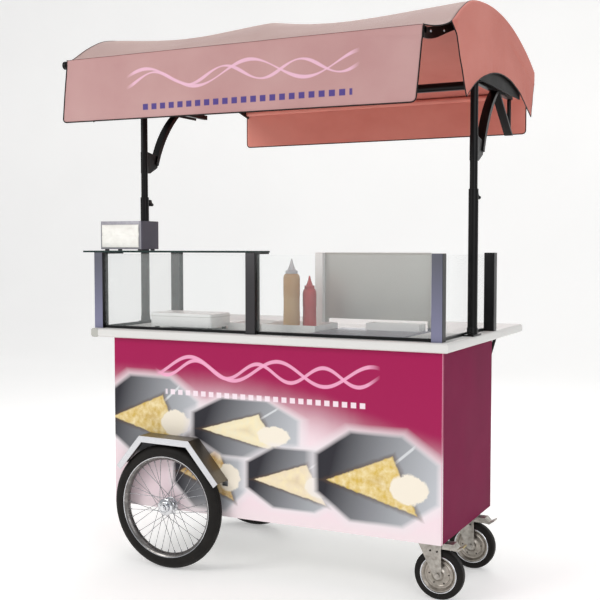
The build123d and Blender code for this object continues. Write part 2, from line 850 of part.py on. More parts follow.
# ---- Things on the counter ----
half_divider = divider_size / 2
keep(
    "divider_post",
    block(
        divider_x - half_divider, divider_x + half_divider, divider_y - half_divider, divider_y + half_divider,
        worktop_top, post_top,
    ),
)
panel_left = divider_x + half_divider
middle_tray_right = 147
back_panel = block(
    panel_left, back_panel_right, back_panel_y, back_panel_y + sheet, worktop_top + back_panel_lift, post_top
)
back_panel += block(
    panel_left, back_panel_right, back_panel_y, back_panel_y + back_panel_fold, post_top - sheet, post_top
)
for x in (panel_left, back_panel_right - back_panel_fold):
    back_panel += block(
        x, x + back_panel_fold, back_panel_y, back_panel_y + back_panel_fold, worktop_top,
        worktop_top + back_panel_lift + back_panel_fold,
    )
base_plate = block(
    middle_tray_right + 6, back_panel_right, base_plate_front, back_panel_y - 5, worktop_top,
    worktop_top + base_plate_thickness,
)
keep("back_panel", back_panel)
keep("back_panel", base_plate)


def tray(x0, x1, y0, y1, foot):
    """Open serving tray with straight walls."""
    outer = block(x0, x1, y0, y1, foot, foot + tray_height)
    inner = block(
        x0 + tray_wall, x1 - tray_wall, y0 + tray_wall, y1 - tray_wall, foot + tray_wall, foot + tray_height + 1
    )
    return outer - inner


keep("serving_trays", tray(-276, -122, -165, 60, worktop_top))
keep("serving_trays", tray(-108, middle_tray_right, -170, divider_y - half_divider - 10, worktop_top))
keep("serving_trays", tray(300, 540, 12, 90, worktop_top + base_plate_thickness))


def bottle(x, y, radius, body, cone):
    """Squeeze bottle with its shoulder, and a cone nozzle on it."""
    foot = worktop_top + tray_wall
    shape = rod((x, y, foot), (x, y, foot + body), radius)
    shape += Pos(x, y, foot + body) * Cone(radius, radius * 0.7, 12, align=(Align.CENTER, Align.CENTER, Align.MIN))
    nozzle_foot = foot + body + 12
    collar = Pos(x, y, nozzle_foot) * Cylinder(radius * 0.75, 14, align=(Align.CENTER, Align.CENTER, Align.MIN))
    spout = Pos(x, y, nozzle_foot + 14) * Cone(
        radius * 0.5, 2.5, cone, align=(Align.CENTER, Align.CENTER, Align.MIN)
    )
    return [shape, collar + spout]


keep("sauce_bottles", *bottle(0, -95, 36, 230, 50))
keep("sauce_bottles", *bottle(66, -55, 30, 165, 42))


def footed_box(size, place, base, foot_height, round_radius):
    """A casing with rounded upright edges on four round feet."""
    length, depth, height = size
    x, y = place
    body = block(
        x - length / 2, x + length / 2, y - depth / 2, y + depth / 2, base + foot_height,
        base + foot_height + height,
    )
    body = fillet(body.edges().filter_by(Axis.Z), round_radius)
    feet = [
        rod(
            (x + sx * (length / 2 - 22), y + sy * (depth / 2 - 22), base),
            (x + sx * (length / 2 - 22), y + sy * (depth / 2 - 22), base + foot_height), 9,
        )
        for sx in (-1, 1) for sy in (-1, 1)
    ]
    return body, feet


plate_body, plate_feet = footed_box(hot_plate_size, hot_plate_place, worktop_top, hot_plate_foot, 12)
keep("hot_plate", plate_body, plate_feet)
lid_foot = worktop_top + hot_plate_foot + hot_plate_size[2]
lid = block(
    hot_plate_place[0] - hot_plate_size[0] / 2, hot_plate_place[0] + hot_plate_size[0] / 2,
    hot_plate_place[1] - hot_plate_size[1] / 2, hot_plate_place[1] + hot_plate_size[1] / 2,
    lid_foot, lid_foot + 16,
)
lid = fillet(lid.edges().filter_by(Axis.Z), 12)
keep("hot_plate", fillet(lid.faces().sort_by(Axis.Z)[-1].edges(), 8))
case, case_feet = footed_box(
    dispenser_size, dispenser_place, post_top + shelf_glass_thickness, dispenser_foot, 10
)
keep("napkin_dispenser", case, case_feet)

# ---- Canopy frame ----
roof_span = range(len(roof_line))


def roof_offset(inset):
    """The roof line moved in towards the frame, square to itself."""
    moved = []
    for index in roof_span:
        before = roof_line[max(index - 1, 0)]
        after = roof_line[min(index + 1, len(roof_line) - 1)]
        run = math.hypot(after[0] - before[0], after[1] - before[1])
        y = roof_line[index][0] + inset * (after[1] - before[1]) / run
        z = roof_line[index][1] - inset * (after[0] - before[0]) / run
        moved.append((y, z))
    return moved


def roof_band(outer_inset, inner_inset, x0, x1, front=-800, back=1200):
    """A strip that follows the roof line between two insets, cut off at a front and a back."""
    outer = [Vector(x0, y, z) for y, z in roof_offset(outer_inset)]
    inner = [Vector(x0, y, z) for y, z in roof_offset(inner_inset)]
    top = Edge.make_spline(outer)
    bottom = Edge.make_spline(inner)
    ends = [Edge.make_line(outer[-1], inner[-1]), Edge.make_line(inner[0], outer[0])]
    face = Face(Wire([top, ends[0], bottom, ends[1]]))
    band = extrude(face, amount=x1 - x0, dir=(1, 0, 0))
    return band & block(x0 - 1, x1 + 1, front, back, 1500, 3000)


def under_roof(inset, x0, x1, foot):
    """Everything under the roof line down to a level."""
    line = [Vector(x0, y, z) for y, z in roof_offset(inset)]
    top = Edge.make_spline(line)
    low_back = Vector(x0, line[-1].Y, foot)
    low_front = Vector(x0, line[0].Y, foot)
    face = Face(
        Wire([
            top, Edge.make_line(line[-1], low_back), Edge.make_line(low_back, low_front),
            Edge.make_line(low_front, line[0]),
        ])
    )
    return extrude(face, amount=x1 - x0, dir=(1, 0, 0))


last_point = len(roof_line) - 1
hood_front_point = 2
hood_back_point = 10
hoop_outer_inset = fabric + hoop_gap
hoop_inner_inset = hoop_outer_inset + hoop_depth
hood_left = canopy_x - hood_half_length
hood_right = canopy_x + hood_half_length
hoop_margin = fabric + 4
hoop_places = {
    "left": hood_left + hoop_margin, "middle": canopy_x - hoop_width / 2, "right": hood_right - hoop_margin - hoop_width
}
hoop_front_y = roof_line[hood_front_point][0] + 22
hoop_back_y = roof_line[hood_back_point][0] - 14
front_tube = (-516, 2142.5)
rear_tube = (968, 2108)


def end_rib(side):
    """Curved flat rib under the roof, from the front eave tube to the rear one, bolted to the mast."""
    outer = mast_places[side] - side * (mast_upper_radius + 2)
    inner = outer - side * rail_sheet
    x0 = min(inner, outer)
    low = [Vector(x0, y, z) for y, z in rib_line]
    high = [Vector(x0, y, z + rib_depth) for y, z in rib_line]
    bottom = Edge.make_spline(low)
    top = Edge.make_spline(high[::-1])
    rib = extrude(
        Face(Wire([bottom, Edge.make_line(low[-1], high[-1]), top, Edge.make_line(high[0], low[0])])),
        amount=rail_sheet, dir=(1, 0, 0),
    )
    rib &= under_roof(fabric + rib_gap, x0 - 1, x0 + rail_sheet + 1, rib_line[-1][1] - rib_depth)
    for tube_place in (front_tube, rear_tube):
        rib -= rod((x0 - 5, *tube_place), (x0 + 20, *tube_place), eave_tube_radius + running_gap)
    return rib + rod((outer, mast_y, rib_bolt_z), (outer + side * 2, mast_y, rib_bolt_z), 8)


keep("side_rails", end_rib(-1), end_rib(1))


def end_hoop(side):
    """Hood hoop, carried on the head plate."""
    x0 = hoop_places["left" if side < 0 else "right"]
    return roof_band(hoop_outer_inset, hoop_inner_inset, x0, x0 + hoop_width, hoop_front_y, hoop_back_y)


keep("hood_hoops", end_hoop(-1), end_hoop(1))
middle_hoop = roof_band(
    hoop_outer_inset, hoop_inner_inset, hoop_places["middle"], hoop_places["middle"] + hoop_width,
    front_tube[0] + 4, rear_tube[0] - 4,
)
keep("hood_hoops", middle_hoop)
tube_left = canopy_x - eave_half_length - 10
tube_right = canopy_x + eave_half_length
rear_left = canopy_x - rear_eave_half_length + 4
rear_right = canopy_x + eave_half_length
for label, tube_place, x0, x1 in (
    ("front", front_tube, tube_left, tube_right), ("rear", rear_tube, rear_left, rear_right)
):
    tube = pipe((x0, *tube_place), (x1, *tube_place), eave_tube_radius, eave_tube_radius - 1.5)
    keep("eave_tubes", tube - middle_hoop)
    for x, outward in ((x0, -1), (x1, 1)):
        if label == "front" and outward < 0:
            keep("eave_tubes", rod((x, *tube_place), (x - end_cap_depth, *tube_place), end_cap_radius))

beam = pipe(
    (mast_places[-1], mast_y, beam_z), (mast_places[1], mast_y, beam_z), beam_radius, beam_radius - tube_wall
)
for mast_x in mast_places.values():
    beam -= rod((mast_x, mast_y, beam_z - 80), (mast_x, mast_y, beam_z + 80), mast_upper_radius + running_gap)
keep("mast_beam", max(beam.solids(), key=lambda solid: solid.volume))


def canopy_brace(side):
    """Mast collar and lug, curved flat brace and the arm that carries the canopy's rear half."""
    x = mast_places[side]
    half = brace_width / 2
    collar_radius = mast_upper_radius + collar_wall
    collar = pipe((x, mast_y, 1722), (x, mast_y, 1822), collar_radius, mast_upper_radius + running_gap)
    lug_start = mast_y + mast_upper_radius + collar_wall / 2
    lug = slab_yz(
        [(lug_start, 1722), (52, 1722), (112, 1752), (124, 1806), (lug_start, 1822)],
        x - lug_width / 2, x + lug_width / 2,
    )
    inner_start = Vector(x - half, 112, 1762)
    inner_middle = Vector(x - half, 190, 1908)
    inner_end = Vector(x - half, 318, 2034)
    outer_start = Vector(x - half, 94, 1770)
    outer_middle = Vector(x - half, 170, 1918)
    outer_end = Vector(x - half, 292, 2034)
    face = Face(
        Wire([
            Edge.make_three_point_arc(inner_start, inner_middle, inner_end),
            Edge.make_line(inner_end, outer_end),
            Edge.make_three_point_arc(outer_end, outer_middle, outer_start),
            Edge.make_line(outer_start, inner_start),
        ])
    )
    bar = extrude(face, amount=brace_width, dir=(1, 0, 0))
    arm = block(x - 10, x + 10, mast_y + mast_upper_radius + running_gap, head_plate_back, 2032, 2054)
    return collar + lug + bar + arm


for side in (-1, 1):
    keep("canopy_braces", canopy_brace(side))

right_mast = mast_places[1]
hanger = rod((right_mast, 548, 1872), (right_mast, 548, 2032), 9)
hanger += slab_yz(
    [(326, 2032), (344, 2032), (556, 1872), (538, 1872)], right_mast - brace_width / 2, right_mast + brace_width / 2
)
keep("canopy_braces", hanger)


def head_plate_for(side):
    """Dark plate that fills the hoop's crown and carries it on the mast and the arm."""
    x0 = hoop_places["left" if side < 0 else "right"] + hoop_width / 2 - head_plate / 2
    plate = under_roof(hoop_inner_inset, x0, x0 + head_plate, head_plate_foot)
    plate &= block(x0 - 1, x0 + head_plate + 1, head_plate_front, head_plate_back, head_plate_foot, 2400)
    mast_face = mast_places[side] + side * mast_upper_radius
    plate_face = x0 if side > 0 else x0 + head_plate
    spacer = rod((mast_places[side] + side * 10, mast_y, 2043), (plate_face, mast_y, 2043), 9)
    spacer -= rod((mast_places[side], mast_y, 2000), (mast_places[side], mast_y, 2100), mast_upper_radius + running_gap)
    return [plate, max(spacer.solids(), key=lambda solid: solid.volume)]


keep("head_plates", *head_plate_for(-1), *head_plate_for(1))


# ---- Canopy cover ----
def canopy_roof():
    """Roof cloth: one sheet that is widest over the hood and narrower at both eaves."""
    sheet_band = roof_band(0, fabric, hood_left, hood_right)
    hood_front = roof_line[hood_front_point][0]
    hood_back = roof_line[hood_back_point][0]
    for side in (-1, 1):
        front_edge = canopy_x + side * eave_half_length
        back_edge = canopy_x + side * rear_eave_half_length
        outside = canopy_x + side * 2 * hood_half_length
        sheet_band -= block(front_edge, outside, -700, hood_front, 2000, 2500)
        sheet_band -= block(back_edge, outside, hood_back, 1200, 2000, 2500)
    return sheet_band


def front_valance():
    """Front valance, hung a little askew, with rounded lower corners."""
    face_y = roof_line[0][0]
    left = canopy_x - eave_half_length
    right = canopy_x + eave_half_length
    top = roof_line[0][1] - fabric
    outline = [
        (left, top), (right, top), (right - front_valance_lean, front_valance_foot - front_valance_dip),
        (left - front_valance_lean, front_valance_foot),
    ]
    panel = slab_xz(outline, face_y, face_y + fabric)
    corners = [edge for edge in panel.edges() if edge.bounding_box().size.Z < 1 and edge.center().Z < top - 100
               and edge.bounding_box().size.X < 1]
    return fillet(corners, 18)


def rear_valance():
    """Rear valance with rounded lower corners."""
    back = roof_line[-1][0]
    panel = block(
        canopy_x - rear_eave_half_length, canopy_x + rear_eave_half_length, back - fabric, back,
        rear_valance_foot, roof_line[-1][1] - fabric,
    )
    corners = panel.edges().filter_by(Axis.Y).group_by(Axis.Z)[0]
    return fillet(corners, 18)


def end_flap(side):
    """Hood end: hangs from the roof's edge, with an arched lower edge."""
    x0 = hood_right - fabric if side > 0 else hood_left
    hood_front = roof_line[hood_front_point][0]
    hood_back = roof_line[hood_back_point][0]
    points = [
        Vector(x0, hood_front, 2500), Vector(x0, hood_front, roof_line[hood_front_point][1] - 8),
        Vector(x0, *flap_foot_front),
    ]
    tail = [
        Vector(x0, *flap_tips[side]), Vector(x0, hood_back + 10, 2120), Vector(x0, hood_back, 2175),
        Vector(x0, hood_back, 2500),
    ]
    arch_end = Vector(x0, *flap_arch_ends[side])
    edges = [Edge.make_line(points[index], points[index + 1]) for index in range(len(points) - 1)]
    edges.append(Edge.make_three_point_arc(points[-1], Vector(x0, *flap_arch_top), arch_end))
    path = [arch_end, *tail, points[0]]
    edges += [Edge.make_line(path[index], path[index + 1]) for index in range(len(path) - 1)]
    flap = extrude(Face(Wire(edges)), amount=fabric, dir=(1, 0, 0))
    return flap & under_roof(fabric, x0, x0 + fabric, 1800)


keep("canopy_roof", canopy_roof())
keep("front_valance", front_valance())
keep("rear_valance", rear_valance())
keep("end_flap_left", end_flap(-1))
keep("end_flap_right", end_flap(1))

# ---- Move the origin under the middle of the outline, and write one file per node ----
boxes = [solid.bounding_box() for group in nodes.values() for solid in group]
low = [min(getattr(box.min, axis) for box in boxes) for axis in "XYZ"]
high = [max(getattr(box.max, axis) for box in boxes) for axis in "XYZ"]
origin_shift = (-(low[0] + high[0]) / 2, -(low[1] + high[1]) / 2, -low[2])
os.makedirs("parts", exist_ok=True)
for name, group in nodes.items():
    moved = [solid.moved(Location(origin_shift)) for solid in group]
    shape = moved[0] if len(moved) == 1 else Compound(moved)
    export_step(shape, os.path.join("parts", name + ".step"))
print(len(nodes), "nodes, origin moved by", [round(value, 3) for value in origin_shift])
print("low", [round(value, 2) for value in low], "high", [round(value, 2) for value in high])
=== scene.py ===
import json
import math

import bmesh
import bpy
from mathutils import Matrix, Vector, noise


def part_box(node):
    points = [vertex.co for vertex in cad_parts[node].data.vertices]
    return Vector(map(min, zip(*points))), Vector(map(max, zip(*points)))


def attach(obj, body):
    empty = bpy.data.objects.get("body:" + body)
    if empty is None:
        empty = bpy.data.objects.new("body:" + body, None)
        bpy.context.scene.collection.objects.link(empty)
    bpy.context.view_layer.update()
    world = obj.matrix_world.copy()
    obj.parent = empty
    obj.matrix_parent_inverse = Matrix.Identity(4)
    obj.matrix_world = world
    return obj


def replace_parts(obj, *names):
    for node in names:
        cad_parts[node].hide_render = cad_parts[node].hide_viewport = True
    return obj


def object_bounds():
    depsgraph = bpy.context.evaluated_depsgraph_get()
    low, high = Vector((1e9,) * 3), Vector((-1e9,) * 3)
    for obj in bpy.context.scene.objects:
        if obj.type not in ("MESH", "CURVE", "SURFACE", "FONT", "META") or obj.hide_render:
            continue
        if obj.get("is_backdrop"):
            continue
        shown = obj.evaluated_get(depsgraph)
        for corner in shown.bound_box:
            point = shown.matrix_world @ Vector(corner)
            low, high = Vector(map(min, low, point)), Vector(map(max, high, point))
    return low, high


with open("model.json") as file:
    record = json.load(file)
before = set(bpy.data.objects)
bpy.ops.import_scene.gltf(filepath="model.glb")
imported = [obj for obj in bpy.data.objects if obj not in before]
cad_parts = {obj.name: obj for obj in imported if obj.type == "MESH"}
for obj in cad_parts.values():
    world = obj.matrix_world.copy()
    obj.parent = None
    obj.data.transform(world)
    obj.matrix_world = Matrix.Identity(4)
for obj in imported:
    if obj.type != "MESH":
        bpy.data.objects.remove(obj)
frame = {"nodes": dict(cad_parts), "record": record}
cad_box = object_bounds()

# ---- Cabinet ----
# Laminated board panels on a welded frame. The front carries a printed film that fades from
# magenta to pale pink over pictures of plates; the ends are plain dark magenta film. The
# operator's side has an aluminium track frame with two white sliding doors.
record = frame["record"]
home = {node: body for body, group in record["behaviour"]["bodies"].items() for node in group}
slots = {part["node"]: part["material_slot"] for part in record["subparts"]}


def at(x, y, z):
    """A point given in millimetres from the cabinet's middle and the floor, in the shared frame."""
    return Vector(((x + 48) / 1000, (y - 227.5) / 1000, z / 1000))


def colour(text):
    """A linear colour from a six-digit web colour."""
    parts = [int(text[index:index + 2], 16) / 255 for index in (1, 3, 5)]
    return tuple(c / 12.92 if c < 0.04045 else ((c + 0.055) / 1.055) ** 2.4 for c in parts) + (1.0,)


class Value:
    """A shader socket that adds, multiplies and compares like a number."""

    def __init__(self, tree, socket):
        self.tree = tree
        self.socket = socket

    def math(self, operation, other=0.0, swapped=False, clamp=False):
        node = self.tree.nodes.new("ShaderNodeMath")
        node.operation = operation
        node.use_clamp = clamp
        for index, item in enumerate((other, self) if swapped else (self, other)):
            if isinstance(item, Value):
                self.tree.links.new(item.socket, node.inputs[index])
            else:
                node.inputs[index].default_value = item
        return Value(self.tree, node.outputs[0])

    def __add__(self, other):
        return self.math("ADD", other)

    def __radd__(self, other):
        return self.math("ADD", other, True)

    def __sub__(self, other):
        return self.math("SUBTRACT", other)

    def __rsub__(self, other):
        return self.math("SUBTRACT", other, True)

    def __mul__(self, other):
        return self.math("MULTIPLY", other)

    def __rmul__(self, other):
        return self.math("MULTIPLY", other, True)

    def __truediv__(self, other):
        return self.math("DIVIDE", other)

    def __rtruediv__(self, other):
        return self.math("DIVIDE", other, True)

    def clamped(self):
        """Held between 0 and 1."""
        return self.math("ADD", 0.0, clamp=True)

    def below(self, edge, soft):
        """1 below edge and 0 above it, with a ramp soft wide."""
        return ((edge - self) / soft + 0.5).clamped()


class Finish:
    """A procedural material: node() adds any node, and put() feeds a channel of its surface."""

    def __init__(self, name, roughness=0.5, metallic=0.0, **constants):
        self.material = bpy.data.materials.new(name)
        self.material.use_nodes = True
        self.tree = self.material.node_tree
        self.surface = self.tree.nodes["Principled BSDF"]
        self.put("Roughness", roughness)
        self.put("Metallic", metallic)
        self.put("Specular IOR Level", 0.22)
        for key, value in constants.items():
            self.put(key.replace("_", " "), value)

    def feed(self, socket, value):
        if isinstance(value, Value):
            self.tree.links.new(value.socket, socket)
        else:
            socket.default_value = value

    def put(self, channel, value):
        self.feed(self.surface.inputs[channel], value)
        return self

    def node(self, kind, settings=None, inputs=None, output=0):
        made = self.tree.nodes.new(kind)
        for key, value in (settings or {}).items():
            setattr(made, key, value)
        for key, value in (inputs or {}).items():
            self.feed(made.inputs[key], value)
        return Value(self.tree, made.outputs[output])

    def place(self):
        return self.node("ShaderNodeTexCoord", output=3)

    def axis(self, index):
        return self.node("ShaderNodeSeparateXYZ", inputs={0: self.place()}, output=index)

    def scaled(self, stretch):
        return self.node("ShaderNodeMapping", inputs={0: self.place(), "Scale": stretch})

    def noise(self, scale, detail=3.0, stretch=(1, 1, 1), roughness=0.55):
        return self.node(
            "ShaderNodeTexNoise",
            inputs={"Vector": self.scaled(stretch), "Scale": scale, "Detail": detail, "Roughness": roughness},
        )

    def mix(self, factor, first, second):
        return self.node(
            "ShaderNodeMix", {"data_type": "RGBA"}, {0: factor, 6: first, 7: second}, 2
        )

    def bump(self, height, strength=0.3, distance=0.001):
        self.put("Normal", self.node(
            "ShaderNodeBump", inputs={"Height": height, "Strength": strength, "Distance": distance}
        ))
        return self

    def mottled(self, base, other, scale=6.0, stretch=(1, 1, 1)):
        """Base colour that drifts between two close colours."""
        drift = self.noise(scale, 4.0, stretch)
        self.put("Base Color", self.mix((drift - 0.35) * 2.2, colour(base), colour(other)))
        return self


def painted(name, base, other, roughness=0.4, peel=0.12, scale=5.0, **constants):
    """Powder coat or paint: slow drift of colour, orange peel, and roughness that varies with handling."""
    finish = Finish(name, **constants)
    finish.mottled(base, other, scale)
    finish.put("Roughness", roughness + (finish.noise(9.0) - 0.5) * 0.18)
    return finish.bump(finish.noise(900.0, 2.0), peel, 0.0004)


def metal(name, base, other, roughness=0.3, grain=(1, 1, 1), depth=0.08, **constants):
    """Bare or plated metal with a grain that runs along one direction."""
    finish = Finish(name, metallic=1.0, **constants)
    streak = finish.noise(60.0, 5.0, grain)
    finish.put("Base Color", finish.mix((streak - 0.3) * 2.0, colour(base), colour(other)))
    finish.put("Roughness", roughness + (streak - 0.5) * 0.25 + (finish.noise(7.0) - 0.5) * 0.12)
    return finish.bump(streak, depth, 0.0005)


def laminate(name, base, other, roughness=0.35):
    """Pressed laminate with a faint pebbled face."""
    finish = Finish(name)
    finish.mottled(base, other, 3.0)
    finish.put("Roughness", roughness + (finish.noise(4.0) - 0.5) * 0.12)
    return finish.bump(finish.noise(420.0, 3.0), 0.04, 0.0003)


def printed_film():
    """Magenta that fades to pale pink, with a row of dishes and a plain flourish."""
    film = Finish("printed_film")
    x = film.axis(0)
    z = film.axis(2)
    haze = film.noise(3.0, 4.0)
    fade = (z + x * 0.12 + x * x * 0.14 + haze * 0.08 - 0.63) / 0.26
    fade = fade.clamped()
    fade = fade * fade * (3.0 - fade * 2.0)
    tone = film.mix(fade, colour("#f3dfe5"), colour("#a01550"))
    # dishes: an eight-sided dark tray with a pale far corner, a folded wedge and a heap of garnish
    dishes = (
        (-0.57, 0.645, 0.250, 1.45, "#d3b25c", "#8aa055"), (-0.27, 0.435, 0.185, 1.05, "#c49a58", "#5b3a28"),
        (-0.10, 0.620, 0.260, 2.10, "#efe6c8", "#b9c98f"), (0.13, 0.430, 0.225, 1.75, "#ecdcc0", "#b8423f"),
        (0.49, 0.470, 0.265, 1.45, "#d9b858", "#7d5236"),
    )
    crumbs = film.node(
        "ShaderNodeTexVoronoi", {"feature": "F1"},
        {"Vector": film.scaled((1, 0, 1.25)), "Scale": 48.0}, 0
    )
    grain = film.noise(34.0, 6.0, (1, 0, 1))
    for centre_x, centre_z, half, squash, bread, garnish in dishes:
        dx = (x - (centre_x + 0.048)) / half
        dz = (z - centre_z) / half * squash
        flat = dx.math("ABSOLUTE")
        tall = dz.math("ABSOLUTE")
        far = flat.math("MAXIMUM", tall).math("MAXIMUM", (flat + tall) * 0.70) + (haze - 0.5) * 0.06
        lit = (dx * 0.55 - dz * 0.10 + 0.42).clamped()
        tray = film.mix(lit, colour("#2b2a31"), colour("#c3c6cb"))
        tone = film.mix(far.below(1.06, 0.22) * 0.85, tone, colour("#ece6e9"))
        tone = film.mix(far.below(0.97, 0.10), tone, tray)
        corner = ((dx - dz * 0.8).math("ABSOLUTE") - 0.03).below(0.0, 0.02)
        corner = corner * (dx - 0.35).math("ABSOLUTE").below(0.25, 0.05)
        tone = film.mix(corner * 0.6, tone, colour("#eef0f2"))
        wedge = (dz * -0.9 - dx * 0.35 - 0.42).math("MAXIMUM", dx * 0.95 + dz * 0.30 - 0.42)
        wedge = wedge.math("MAXIMUM", dz * 0.9 - dx * 0.55 - 0.34) + (grain - 0.5) * 0.08
        crust = film.mix((grain - 0.35) * 2.6, colour(bread), colour("#f6e7bd"))
        fold = ((wedge * 9.0).math("SINE") * 0.5 + 0.5) * wedge.below(0.0, 0.3)
        tone = film.mix(wedge.below(0.02, 0.10) * 0.75, tone, colour("#5a4434"))
        tone = film.mix(wedge.below(-0.02, 0.03), tone, film.mix(fold * 0.35, crust, colour("#a77b3e")))
        pile = (dx - 0.52) * (dx - 0.52) + (dz + 0.16) * (dz + 0.16) * 0.8 + (grain - 0.5) * 0.10
        bits = film.mix((crumbs * 52.0 - 0.2).clamped(), colour(garnish), colour("#f3ead9"))
        tone = film.mix(pile.below(0.085, 0.02), tone, bits)
    base_glow = (0.305 - z) / 0.10
    tone = film.mix(base_glow.clamped() * 0.6, tone, colour("#efe7e6"))
    # a flourish of two crossing waves, and a row of short dashes under it
    for height, reach, pitch, phase in ((0.862, 0.045, 15.0, 0.0), (0.858, 0.034, 21.0, 1.3)):
        wave = z - height - ((x * pitch + phase).math("SINE")) * reach
        band = wave.math("ABSOLUTE").below(0.0075, 0.003)
        inside = (x - 0.03).math("ABSOLUTE").below(0.50, 0.05)
        tone = film.mix(band * inside * 0.9, tone, colour("#f0a9c9"))
    dash = ((x * 26.0).math("FRACT") - 0.5).math("ABSOLUTE").below(0.30, 0.05)
    line = (z - 0.752).math("ABSOLUTE").below(0.011, 0.003)
    inside = (x - 0.03).math("ABSOLUTE").below(0.47, 0.01)
    tone = film.mix(dash * line * inside * 0.9, tone, colour("#f7e7ef"))
    film.put("Base Color", tone)
    film.put("Roughness", 0.32 + (haze - 0.5) * 0.15)
    return film.bump(film.noise(260.0, 2.0), 0.06, 0.0004)


def dress(node, finish):
    """Gives a CAD node that stays in view its material."""
    data = frame["nodes"][node].data
    data.materials.clear()
    data.materials.append(finish.material)


def shown(name, mesh, body, slot):
    """An object for a mesh, on its body where it has one; slot is not used."""
    made = bpy.data.objects.new(name, mesh)
    bpy.context.collection.objects.link(made)
    if body:
        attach(made, body)
    return made


def recolour(made, finish, chosen):
    """Gives the faces that chosen picks one more material."""
    made.data.materials.append(finish.material)
    for face in made.data.polygons:
        if chosen(face):
            face.material_index = len(made.data.materials) - 1


def piece(name, verts, faces, finish, body, slot=None, sharp=35):
    """A new mesh piece that rides on a body; closed meshes get their normals turned outward."""
    mesh = bpy.data.meshes.new(name)
    mesh.from_pydata([tuple(v) for v in verts], [], faces)
    shape = bmesh.new()
    shape.from_mesh(mesh)
    if all(edge.is_manifold for edge in shape.edges):
        bmesh.ops.recalc_face_normals(shape, faces=shape.faces)
    shape.to_mesh(mesh)
    shape.free()
    mesh.materials.append(finish.material)
    mesh.shade_smooth()
    mesh.set_sharp_from_angle(angle=math.radians(sharp))
    return shown(name, mesh, body, slot)


def softened(node, width, finish, segments=2):
    """A new piece of a CAD node's outline with its edges rounded, shown in the node's place."""
    shape = bmesh.new()
    shape.from_mesh(frame["nodes"][node].data)
    bmesh.ops.remove_doubles(shape, verts=shape.verts, dist=0.00002)
    bmesh.ops.dissolve_limit(shape, angle_limit=math.radians(0.6), verts=shape.verts, edges=shape.edges)
    edges = [
        edge for edge in shape.edges
        if edge.is_manifold and edge.calc_face_angle() > math.radians(28) and edge.calc_length() > 3 * width
    ]
    bmesh.ops.bevel(
        shape, geom=edges, offset=width, segments=segments, profile=0.6, affect="EDGES", clamp_overlap=True
    )
    mesh = bpy.data.meshes.new(node + "_skin")
    shape.to_mesh(mesh)
    shape.free()
    mesh.materials.append(finish.material)
    mesh.shade_smooth()
    mesh.set_sharp_from_angle(angle=math.radians(24))
    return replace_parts(shown(node + "_skin", mesh, home[node], slots[node]), node)


magenta = laminate("end_film", "#7b0a40", "#6f083a", 0.6)
magenta.put("Specular IOR Level", 0.08)
dress("front_panel", printed_film())
dress("left_end_panel", magenta)
dress("right_end_panel", magenta)
dress("cabinet_shelves", laminate("shelf_laminate", "#cfcfcb", "#c4c4c0", 0.45))
frame_paint = painted("frame_paint", "#3a3a3c", "#333335", 0.45)
dress("base_frame", frame_paint)
dress("rear_frame", metal("track_aluminium", "#a9abae", "#bdbfc2", 0.34, (1, 40, 1)))
door_white = laminate("door_laminate", "#e9e9e7", "#dededb", 0.3)
softened("sliding_door_left", 0.0012, door_white)
softened("sliding_door_right", 0.0012, door_white)


def strip(name, low, high, finish, body, slot=None, bevel=0.0004):
    """A bar between two corners with rounded edges."""
    shape = bmesh.new()
    bmesh.ops.create_cube(shape, size=1.0)
    size = Vector(high) - Vector(low)
    middle = (Vector(low) + Vector(high)) / 2
    for vert in shape.verts:
        vert.co = Vector((vert.co.x * size.x, vert.co.y * size.y, vert.co.z * size.z)) + middle
    bmesh.ops.bevel(shape, geom=list(shape.edges), offset=bevel, segments=2, profile=0.6, affect="EDGES")
    verts = [vert.co.copy() for vert in shape.verts]
    faces = [[vert.index for vert in face.verts] for face in shape.faces]
    shape.free()
    return piece(name, verts, faces, finish, body, slot)


edge_pink = laminate("film_edge", "#e59ab8", "#dd8fb0", 0.35)
panel_low, panel_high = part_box("front_panel")
strip(
    "film_edge_strip", (panel_high.x - 0.0002, panel_low.y - 0.0006, panel_low.z),
    (panel_high.x + 0.0008, panel_low.y + 0.0018, panel_high.z), edge_pink, "cart", "printed_panel", 0.0003,
)

# ---- Worktop and rear leaf ----
# White laminate on board with a thick rounded plastic edge band, and a moulded cap on the band's
# left end. The rear leaf hangs on three steel hinges and rests on a folding tube support.
white_laminate = laminate("worktop_laminate", "#dddcd9", "#d8d7d4", 0.34)
softened("worktop", 0.0015, white_laminate, 3)
softened("rear_leaf", 0.0015, white_laminate, 3)
zinc = metal("zinc_plate", "#b7b9bb", "#8f9294", 0.36, (2, 2, 2), 0.15)
black_paint = painted("black_paint", "#050405", "#0a0909", 0.34, 0.10)
softened("leaf_fittings", 0.0004, zinc)
softened("leaf_hinge_moving", 0.0004, zinc)
softened("leaf_support", 0.0008, black_paint)
top_low, top_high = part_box("worktop")


